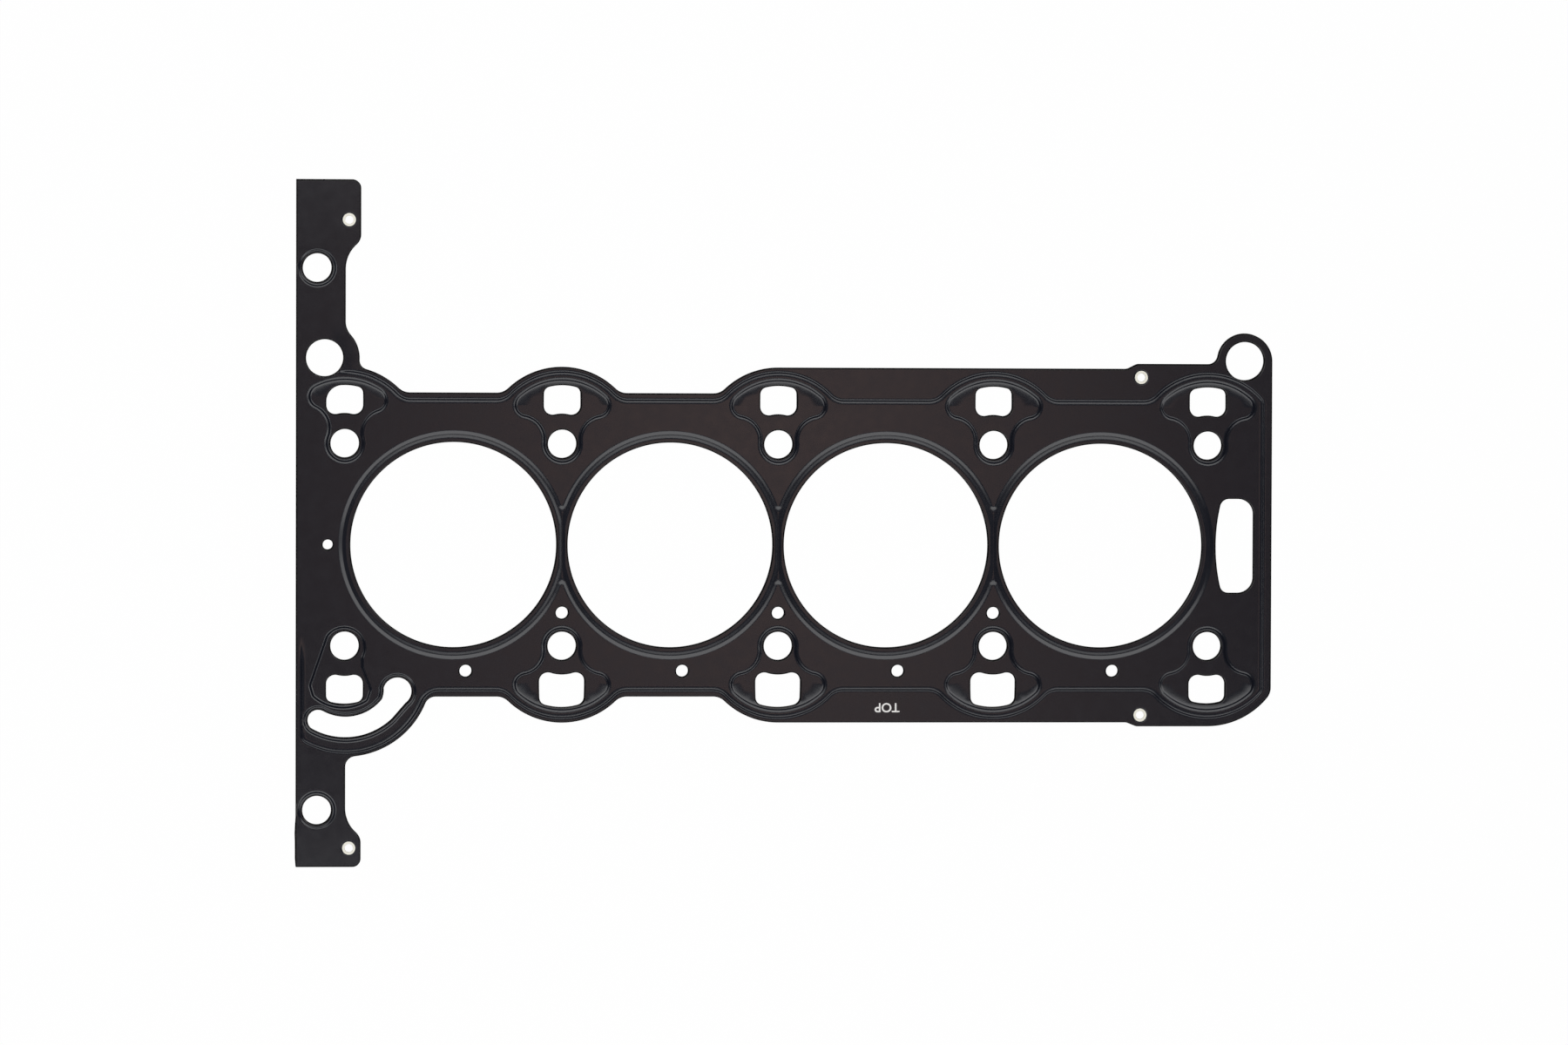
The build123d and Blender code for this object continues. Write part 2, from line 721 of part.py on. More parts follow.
with BuildPart() as upper_layer:
    with BuildSketch(Plane.XY.offset(carrier_half + bead_height)):
        add(outline)
    extrude(amount=sheet_thickness)
    add(face_ground, mode=Mode.SUBTRACT)
    add(under_ground)
    with BuildSketch(Plane.XY.offset(carrier_half)):
        with Locations(*eyelet_places):
            Circle(seat_pad_radius)
    extrude(amount=bead_height)
    with BuildSketch(Plane.XY.offset(field_top)):
        with Locations(*eyelet_places):
            Circle(seat_radius)
    extrude(amount=bead_height, mode=Mode.SUBTRACT)
    with BuildSketch(Plane.XY.offset(carrier_half)):
        add(openings)
        with Locations(*eyelet_places):
            Circle(eyelet_tube_radius + eyelet_clearance)
    extrude(amount=sheet_thickness + bead_height, mode=Mode.SUBTRACT)
upper_layer.part.label = "upper_layer"

# The lower sheet is the same pressing turned over, beads down.
with BuildPart() as lower_layer:
    add(upper_layer.part)
    mirror(about=Plane.XY, mode=Mode.REPLACE)
lower_layer.part.label = "lower_layer"

with BuildPart() as middle_layer:
    with BuildSketch(Plane.XY.offset(-carrier_half)):
        add(outline)
        add(openings, mode=Mode.SUBTRACT)
        with Locations(*eyelet_places):
            Circle(eyelet_tube_radius + eyelet_clearance, mode=Mode.SUBTRACT)
    extrude(amount=carrier_thickness)
middle_layer.part.label = "middle_layer"

# Four hollow eyelets, each one turned piece with a flange at both ends.
with BuildPart() as eyelets:
    with BuildSketch(Plane.XY.offset(-field_top)):
        with Locations(*eyelet_places):
            Circle(eyelet_tube_radius)
    extrude(amount=2 * field_top)
    with BuildSketch(Plane.XY.offset(field_top)):
        with Locations(*eyelet_places):
            Circle(eyelet_flange_radius)
    extrude(amount=eyelet_flange_thickness)
    with BuildSketch(Plane.XY.offset(-field_top - eyelet_flange_thickness)):
        with Locations(*eyelet_places):
            Circle(eyelet_flange_radius)
    extrude(amount=eyelet_flange_thickness)
    with BuildSketch(Plane.XY.offset(-crest_top)):
        with Locations(*eyelet_places):
            Circle(eyelet_bore_radius)
    extrude(amount=2 * crest_top, mode=Mode.SUBTRACT)
eyelets.part.label = "eyelets"

export_step(upper_layer.part, "parts/upper_layer.step")
export_step(middle_layer.part, "parts/middle_layer.step")
export_step(lower_layer.part, "parts/lower_layer.step")
export_step(eyelets.part, "parts/eyelets.step")
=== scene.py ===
"""Looks of a multi-layer steel cylinder head gasket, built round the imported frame.

Lengths are millimetres until a mesh is made, and metres in the meshes.
X runs along the row of bores, Y across it, and +Z is the upper face.
"""
import logging
import math
from collections.abc import Callable
from dataclasses import dataclass, field, replace
from enum import Enum

import bpy
import numpy as np
from mathutils import Euler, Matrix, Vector
from mathutils.geometry import delaunay_2d_cdt
from mathutils.kdtree import KDTree


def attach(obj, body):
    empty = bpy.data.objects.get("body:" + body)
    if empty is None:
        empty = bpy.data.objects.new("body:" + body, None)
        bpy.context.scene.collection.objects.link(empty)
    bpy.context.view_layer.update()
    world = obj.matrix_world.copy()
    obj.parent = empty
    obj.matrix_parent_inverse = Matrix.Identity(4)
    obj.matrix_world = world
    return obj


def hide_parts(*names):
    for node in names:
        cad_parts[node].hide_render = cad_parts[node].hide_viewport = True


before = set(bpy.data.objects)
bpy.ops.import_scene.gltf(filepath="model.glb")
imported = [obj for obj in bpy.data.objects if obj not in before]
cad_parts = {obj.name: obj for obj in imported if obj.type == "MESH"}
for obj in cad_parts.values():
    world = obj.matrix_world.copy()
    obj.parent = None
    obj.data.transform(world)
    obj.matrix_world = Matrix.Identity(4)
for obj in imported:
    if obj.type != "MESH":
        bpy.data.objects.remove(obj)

LOG = logging.getLogger("gasket")
MM = 0.001
SAME_POINT = 1e-5
SMOOTH_JOIN = math.radians(1.0)
CLEAR_SHARE = 0.55
NUDGE = 0.05


# ---------------------------------------------------------------- outlines
@dataclass(frozen=True)
class Straight:
    """A straight run of an outline, directed from one point to another."""

    start: tuple[float, float]
    end: tuple[float, float]

    def heading(self, _point: np.ndarray) -> np.ndarray:
        """The direction of travel at a point."""
        along = np.subtract(self.end, self.start)
        return along / np.linalg.norm(along)

    def shifted(self, left: float) -> "Straight":
        """The parallel run at a distance to the left."""
        along = self.heading(np.zeros(2))
        move = left * np.array([-along[1], along[0]])
        return Straight(tuple(self.start + move), tuple(self.end + move))

    def foot(self, point: np.ndarray) -> np.ndarray:
        """The point of the run nearest to a point."""
        along = self.heading(point)
        return self.start + along * np.dot(point - np.array(self.start), along)

    def samples(
        self, start: np.ndarray, end: np.ndarray, grow: float, grain: "Grain"
    ) -> tuple[np.ndarray, np.ndarray]:
        """Points and outward normals from the start up to, not including, the end."""
        count = max(1, math.ceil(np.linalg.norm(end - start) / grain.straight_step))
        share = (np.arange(count) / count)[:, None]
        along = self.heading(start)
        out = np.array([along[1], -along[0]])
        points = start + share * (end - start) + grow * out
        return points, np.tile(out, (count, 1))


@dataclass(frozen=True)
class Round:
    """A circular run of an outline, turning left (1) or right (-1)."""

    centre: tuple[float, float]
    radius: float
    turn: int = 1

    def heading(self, point: np.ndarray) -> np.ndarray:
        """The direction of travel at a point."""
        radial = point - np.array(self.centre)
        radial = radial / np.linalg.norm(radial)
        return self.turn * np.array([-radial[1], radial[0]])

    def shifted(self, left: float) -> "Round":
        """The parallel run at a distance to the left."""
        return Round(self.centre, self.radius - self.turn * left, self.turn)

    def foot(self, point: np.ndarray) -> np.ndarray:
        """The point of the run nearest to a point."""
        radial = point - np.array(self.centre)
        return self.centre + radial * (self.radius / np.linalg.norm(radial))

    def samples(
        self, start: np.ndarray, end: np.ndarray, grow: float, grain: "Grain"
    ) -> tuple[np.ndarray, np.ndarray]:
        """Points and outward normals from the start up to, not including, the end."""
        centre = np.array(self.centre)
        first = math.atan2(*(start - centre)[::-1])
        last = math.atan2(*(end - centre)[::-1])
        sweep = ((last - first) * self.turn) % math.tau
        if np.linalg.norm(end - start) < SAME_POINT:
            sweep = math.tau if start is end else 0.0
        count = max(1, math.ceil(sweep / grain.angle(self.radius)))
        angles = first + self.turn * sweep * np.arange(count) / count
        radial = np.stack([np.cos(angles), np.sin(angles)], axis=1)
        points = centre + radial * (self.radius + self.turn * grow)
        return points, radial * self.turn


Run = Straight | Round


@dataclass(frozen=True)
class Grain:
    """How finely outlines are sampled, in millimetres."""

    straight_step: float = 3.0
    sag: float = 0.006
    widest_angle: float = math.radians(10.0)

    def angle(self, radius: float) -> float:
        """The widest angle a step may span on a circle."""
        return min(self.widest_angle, 2 * math.acos(1 - self.sag / max(radius, 0.1)))


@dataclass(frozen=True)
class Ring:
    """A closed line of sample points with a unit outward normal at each."""

    points: np.ndarray
    normals: np.ndarray


def three_point_round(start: tuple, via: tuple, end: tuple) -> Round:
    """The circular run through three points.

    Args:
        start: First point.
        via: A point between the ends.
        end: Last point.

    Returns:
        The run, with the turn that passes the middle point.
    """
    (ax, ay), (bx, by), (cx, cy) = start, via, end
    area = 2 * (ax * (by - cy) + bx * (cy - ay) + cx * (ay - by))
    a2, b2, c2 = ax * ax + ay * ay, bx * bx + by * by, cx * cx + cy * cy
    x = (a2 * (by - cy) + b2 * (cy - ay) + c2 * (ay - by)) / area
    y = (a2 * (cx - bx) + b2 * (ax - cx) + c2 * (bx - ax)) / area
    return Round((x, y), math.hypot(ax - x, ay - y), 1 if area > 0 else -1)


def meeting(first: Run, second: Run, near: np.ndarray) -> np.ndarray:
    """Where two runs cross or touch.

    Args:
        first: One run.
        second: The other run.
        near: A point near the crossing that is wanted.

    Returns:
        The crossing nearest to the given point.
    """
    if isinstance(first, Straight) and isinstance(second, Straight):
        u = first.heading(near)
        v = second.heading(near)
        gap = np.subtract(second.start, first.start)
        reach = (gap[0] * v[1] - gap[1] * v[0]) / (u[0] * v[1] - u[1] * v[0])
        return first.start + u * reach
    if isinstance(first, Round) and isinstance(second, Straight):
        first, second = second, first
    if isinstance(first, Straight):
        middle = first.foot(np.array(second.centre))
        offset = np.linalg.norm(middle - np.array(second.centre))
        half = math.sqrt(max(second.radius**2 - offset**2, 0.0))
        along = first.heading(near)
    else:
        span = np.subtract(second.centre, first.centre)
        length = np.linalg.norm(span)
        reach = (first.radius**2 - second.radius**2 + length**2) / (2 * length)
        half = math.sqrt(max(first.radius**2 - reach**2, 0.0))
        middle = first.centre + span * (reach / length)
        along = np.array([-span[1], span[0]]) / length
    choices = (middle + along * half, middle - along * half)
    return min(choices, key=lambda point: np.linalg.norm(point - near))


class Outline:
    """A closed outline of straight and round runs, drawn counterclockwise."""

    def __init__(self, grain: Grain = Grain()) -> None:
        """Starts an empty outline."""
        self.grain = grain
        self.runs: list[Run] = []
        self.corners: list[tuple[np.ndarray, float]] = []

    def add(self, run: Run, near: tuple[float, float], fillet: float = 0.0) -> "Outline":
        """Adds a run.

        Args:
            run: The run to add.
            near: A point near the corner where it meets the next run.
            fillet: Radius that rounds that corner.

        Returns:
            The outline itself.
        """
        self.runs.append(run)
        self.corners.append((np.array(near, float), fillet))
        return self

    def _joint(self, index: int) -> tuple[np.ndarray, Round | None, np.ndarray]:
        """The end of a run, the fillet after it and the start of the next run."""
        first = self.runs[index]
        second = self.runs[(index + 1) % len(self.runs)]
        near, fillet = self.corners[index]
        corner = meeting(first, second, near)
        if fillet == 0.0:
            return corner, None, corner
        u = first.heading(corner)
        v = second.heading(corner)
        turn = 1 if u[0] * v[1] - u[1] * v[0] > 0 else -1
        centre = meeting(first.shifted(turn * fillet), second.shifted(turn * fillet), corner)
        return first.foot(centre), Round(tuple(centre), fillet, turn), second.foot(centre)

    def pieces(self) -> list[tuple[Run, np.ndarray, np.ndarray]]:
        """Every run and fillet with its start and end, in order."""
        if len(self.runs) == 1:
            circle = self.runs[0]
            start = circle.foot(np.add(circle.centre, (circle.radius, 0.0)))
            return [(circle, start, start)]
        joints = [self._joint(index) for index in range(len(self.runs))]
        made = []
        for index, run in enumerate(self.runs):
            end, fillet, onward = joints[index]
            made.append((run, joints[index - 1][2], end))
            if fillet is not None:
                made.append((fillet, end, onward))
        return made

    def ring(self, grow: float = 0.0) -> Ring:
        """Samples the outline moved outward.

        Args:
            grow: Distance outward, or inward where negative.

        Returns:
            Points and outward normals, with mitred sharp corners.
        """
        pieces = self.pieces()
        points, normals = [], []
        for index, (run, start, end) in enumerate(pieces):
            some, out = run.samples(start, end, grow, self.grain)
            if len(pieces) > 1:
                before, _, corner = pieces[index - 1]
                old = before.heading(corner)
                new = run.heading(start)
                if math.acos(np.clip(np.dot(old, new), -1, 1)) > SMOOTH_JOIN:
                    sides = np.array([[old[1], -old[0]], [new[1], -new[0]]])
                    mitre = sides.sum(axis=0) / (1 + np.dot(sides[0], sides[1]))
                    some[0] = start + grow * mitre
                    out[0] = mitre / np.linalg.norm(mitre)
            points.append(some)
            normals.append(out)
        return Ring(np.concatenate(points), np.concatenate(normals))


def circle(x: float, y: float, radius: float) -> Outline:
    """A round outline."""
    return Outline().add(Round((x, y), radius), (x, y))


def mirrored(outline: Outline) -> Outline:
    """An outline turned over about the X axis, still drawn counterclockwise.

    Args:
        outline: The outline to turn over.

    Returns:
        The new outline.
    """
    turned = Outline(outline.grain)
    count = len(outline.runs)
    for index in range(count - 1, -1, -1):
        run = outline.runs[index]
        near, fillet = outline.corners[index - 1]
        if isinstance(run, Straight):
            flipped = Straight((run.end[0], -run.end[1]), (run.start[0], -run.start[1]))
        else:
            flipped = Round((run.centre[0], -run.centre[1]), run.radius, run.turn)
        turned.add(flipped, (near[0], -near[1]), fillet)
    return turned


def moved(outline: Outline, x: float, y: float) -> Outline:
    """An outline carried to another place.

    Args:
        outline: The outline to carry.
        x: Distance along X.
        y: Distance along Y.

    Returns:
        The new outline.
    """
    shifted = Outline(outline.grain)
    for run, (near, fillet) in zip(outline.runs, outline.corners):
        if isinstance(run, Straight):
            new = Straight(
                (run.start[0] + x, run.start[1] + y), (run.end[0] + x, run.end[1] + y)
            )
        else:
            new = Round((run.centre[0] + x, run.centre[1] + y), run.radius, run.turn)
        shifted.add(new, (near[0] + x, near[1] + y), fillet)
    return shifted


# ---------------------------------------------------------------- plan of the gasket
@dataclass(frozen=True)
class Stack:
    """Heights of the three sheets, in millimetres."""

    carrier: float = 0.50
    sheet: float = 0.25
    bead: float = 0.20

    @property
    def field_top(self) -> float:
        """The upper face of the low field."""
        return self.carrier / 2 + self.sheet

    @property
    def crest_top(self) -> float:
        """The upper face of the raised land."""
        return self.field_top + self.bead


@dataclass(frozen=True)
class BoreRow:
    """The row of cylinder bores and the full beads round them."""

    radius: float = 37.0
    pitch: float = 78.0
    count: int = 4
    inner_flank: float = 39.05
    inner_half: float = 0.84
    outer_flank: float = 40.66
    outer_half: float = 0.74
    web_flank: float = 0.70
    web_half: float = 0.62
    notch_fillet: float = 1.0

    @property
    def places(self) -> list[float]:
        """The X of each bore axis."""
        return [self.pitch * index for index in range(self.count)]

    def holes(self) -> list[Outline]:
        """The cylinder openings."""
        return [circle(x, 0.0, self.radius) for x in self.places]

    def outer_foot(self, grow: float) -> Outline:
        """The joined outer flank round all the bores, already moved outward.

        Args:
            grow: Distance outward.

        Returns:
            Arcs about the bore axes that meet in a rounded notch at each web.
        """
        radius = self.outer_flank + grow
        notch = math.sqrt(radius**2 - (self.pitch / 2) ** 2)
        under, fillet = self.places, self.notch_fillet - grow
        made = Outline()
        for x in under[:-1]:
            made.add(Round((x, 0.0), radius), (x + self.pitch / 2, -notch), fillet)
        for x in under[:0:-1]:
            made.add(Round((x, 0.0), radius), (x - self.pitch / 2, notch), fillet)
        made.runs = made.runs[1:] + made.runs[:1]
        made.corners = made.corners[1:] + made.corners[:1]
        return made

    def inner_land(self, index: int, grow: float) -> Outline:
        """The flank on the bore side of a bead, straight along each web.

        Args:
            index: Number of the bore.
            grow: Distance outward.

        Returns:
            A circle cut straight where another bore follows.
        """
        x = self.places[index]
        radius = self.inner_flank + grow
        web = self.pitch / 2 - self.web_flank + grow * self.web_half / self.inner_half
        reach = math.sqrt(radius**2 - web**2)
        rim = Round((x, 0.0), radius)
        right = Straight((x + web, -reach), (x + web, reach))
        left = Straight((x - web, reach), (x - web, -reach))
        made = Outline()
        if index == 0:
            made.add(rim, (x + web, -reach)).add(right, (x + web, reach))
        elif index == self.count - 1:
            made.add(rim, (x - web, reach)).add(left, (x - web, -reach))
        else:
            made.add(rim, (x + web, -reach)).add(right, (x + web, reach))
            made.add(rim, (x - web, reach)).add(left, (x - web, -reach))
        return made


@dataclass(frozen=True)
class BoltRows:
    """The head bolt holes."""

    row_y: float = 36.40
    columns: int = 5
    pitch: float = BoreRow.pitch
    radius: float = 5.15

    @property
    def places(self) -> list[float]:
        """The X of each column of bolts."""
        return [self.pitch * (column - 0.5) for column in range(self.columns)]

    def holes(self) -> list[Outline]:
        """The bolt openings of both rows."""
        rows = (self.row_y, -self.row_y)
        return [circle(x, y, self.radius) for y in rows for x in self.places]


@dataclass(frozen=True)
class Port:
    """One coolant port, drawn outward from its bolt axis."""

    inner_y: float
    inner_corner: tuple[float, float]
    side: tuple[float, float]
    outer_corner: tuple[float, float]
    outer_y: float
    inner_fillet: float
    outer_fillet: float
    left_fillet: float

    def outline(self) -> Outline:
        """The port's edge, with its bolt axis at the origin."""
        (ix, iy), (sx, sy), (ox, oy) = self.inner_corner, self.side, self.outer_corner
        inner = three_point_round((-ix, iy), (0.0, self.inner_y), (ix, iy))
        outer = three_point_round((ox, oy), (0.0, self.outer_y), (-ox, oy))
        right = three_point_round((ix, iy), (sx, sy), (ox, oy))
        left = three_point_round((-ox, oy), (-sx, sy), (-ix, iy))
        made = Outline()
        made.add(inner, (ix, iy), self.inner_fillet)
        made.add(right, (ox, oy), self.outer_fillet)
        made.add(outer, (-ox, oy), self.left_fillet)
        made.add(left, (-ix, iy), self.inner_fillet)
        return made


@dataclass(frozen=True)
class Zone:
    """The raised zone round one port and its bolt, drawn outward from the bolt axis."""

    left_reach: float = 16.83
    right_reach: float = 16.83
    outer_radius: float = 23.05
    wing_radius: float = 4.10
    neck_radius: float = 8.60
    bolt_radius: float = 6.45

    def _side(self, reach: float) -> tuple[np.ndarray, np.ndarray]:
        """Centres of the wing and the neck on the right-hand side."""
        wing_x = reach - self.wing_radius
        wing_y = math.sqrt((self.outer_radius - self.wing_radius) ** 2 - wing_x**2)
        wing = Round((wing_x, wing_y), self.wing_radius + self.neck_radius)
        ring = Round((0.0, 0.0), self.bolt_radius + self.neck_radius)
        neck = meeting(ring, wing, np.array([reach, 0.0]))
        return np.array([wing_x, wing_y]), neck

    def outline(self) -> Outline:
        """The middle of the zone's flank, with its bolt axis at the origin."""
        made = Outline()
        wing, neck = self._side(self.right_reach)
        far_wing, far_neck = (c * np.array([-1, 1]) for c in self._side(self.left_reach))
        to_wing = wing + (neck - wing) * self.wing_radius / (self.wing_radius + self.neck_radius)
        to_bolt = neck * self.bolt_radius / (self.bolt_radius + self.neck_radius)
        far_to_wing = far_wing + (far_neck - far_wing) * self.wing_radius / (
            self.wing_radius + self.neck_radius
        )
        far_to_bolt = far_neck * self.bolt_radius / (self.bolt_radius + self.neck_radius)
        crown = wing / np.linalg.norm(wing) * self.outer_radius
        far_crown = far_wing / np.linalg.norm(far_wing) * self.outer_radius
        made.add(Round((0.0, 0.0), self.bolt_radius), to_bolt)
        made.add(Round(tuple(neck), self.neck_radius, -1), to_wing)
        made.add(Round(tuple(wing), self.wing_radius), crown)
        made.add(Round((0.0, 0.0), self.outer_radius), far_crown)
        made.add(Round(tuple(far_wing), self.wing_radius), far_to_wing)
        made.add(Round(tuple(far_neck), self.neck_radius, -1), far_to_bolt)
        return made


@dataclass(frozen=True)
class Crescent:
    """The crescent slot, its raised rim and the zone of the bolt it goes round."""

    x: float = -38.70
    y: float = -45.20
    outer_radius: float = 24.25
    inner_radius: float = 16.70
    rim: float = 1.25
    zone_fillet: float = 2.0
    left_outer_bearing: float = 240.97
    left_tip_bearing: float = 230.89
    left_inner_bearing: float = 240.53
    shoulder_bearing: float = 313.85
    right_outer: tuple[float, float] = (0.48, 331.34)
    right_tip: tuple[float, float] = (1.45, 350.77)
    right_throat: tuple[float, float] = (-1.59, 335.32)
    right_bend: tuple[float, float] = (-0.72, 328.79)
    right_inner_bearing: float = 321.84

    def _polar(self, radius: float, degrees: float) -> tuple[float, float]:
        """A point by its distance from the centre and its bearing."""
        angle = math.radians(degrees)
        return self.x + radius * math.cos(angle), self.y + radius * math.sin(angle)

    def _past(self, radius: float, offset: tuple[float, float]) -> tuple[float, float]:
        """A point by how far past a radius it lies and its bearing."""
        return self._polar(radius + offset[0], offset[1])

    def slot(self) -> Outline:
        """The edge of the slot, widest at its end beside the first bore."""
        middle = (self.outer_radius + self.inner_radius) / 2
        left_outer = self._polar(self.outer_radius, self.left_outer_bearing)
        left_tip = self._polar(middle, self.left_tip_bearing)
        left_inner = self._polar(self.inner_radius, self.left_inner_bearing)
        shoulder = self._polar(self.outer_radius, self.shoulder_bearing)
        right_outer = self._past(self.outer_radius, self.right_outer)
        right_tip = self._past(middle, self.right_tip)
        right_throat = self._past(self.inner_radius, self.right_throat)
        right_bend = self._past(self.inner_radius, self.right_bend)
        right_inner = self._polar(self.inner_radius, self.right_inner_bearing)
        made = Outline()
        made.add(Round((self.x, self.y), self.outer_radius), shoulder)
        made.add(Straight(shoulder, right_outer), right_outer)
        made.add(three_point_round(right_outer, right_tip, right_throat), right_throat)
        made.add(three_point_round(right_throat, right_bend, right_inner), right_inner)
        made.add(Round((self.x, self.y), self.inner_radius, -1), left_inner)
        made.add(three_point_round(left_inner, left_tip, left_outer), left_outer)
        return made

    def zone(self) -> Outline:
        """The middle of the flank round the first lower bolt."""
        shoulder, crown, neck = (-45.30, -33.00), (-38.00, -29.80), (-32.65, -40.60)
        waist, right, right_foot = (-32.65, -43.90), (-29.60, -52.00), (-30.90, -56.00)
        bottom, left_foot, left = (-40.00, -58.60), (-50.30, -54.40), (-51.40, -50.60)
        made = Outline()
        made.add(three_point_round(left_foot, bottom, right_foot), right_foot, self.zone_fillet)
        made.add(Straight(right_foot, right), right, self.zone_fillet)
        made.add(Straight(right, waist), waist, self.zone_fillet)
        made.add(Straight(waist, neck), neck, self.zone_fillet)
        made.add(three_point_round(neck, crown, shoulder), shoulder, self.zone_fillet)
        made.add(Straight(shoulder, left), left, self.zone_fillet)
        made.add(Straight(left, left_foot), left_foot, self.zone_fillet)
        return made


@dataclass(frozen=True)
class EndSlot:
    """The slot beside the last bore, with a bowed side that follows the bore."""

    left_x: float = 276.05
    shoulder_x: float = 278.30
    right_x: float = 289.80
    half_y: float = 17.10
    left_fillet: float = 3.3
    right_fillet: float = 5.6

    def outline(self) -> Outline:
        """The edge of the slot."""
        low_left, low_right = (self.shoulder_x, -self.half_y), (self.right_x, -self.half_y)
        top_left, top_right = (self.shoulder_x, self.half_y), (self.right_x, self.half_y)
        made = Outline()
        made.add(Straight(low_left, low_right), low_right, self.right_fillet)
        made.add(Straight(low_right, top_right), top_right, self.right_fillet)
        made.add(Straight(top_right, top_left), top_left, self.left_fillet)
        bow = three_point_round(top_left, (self.left_x, 0.0), low_left)
        made.add(bow, low_left, self.left_fillet)
        return made


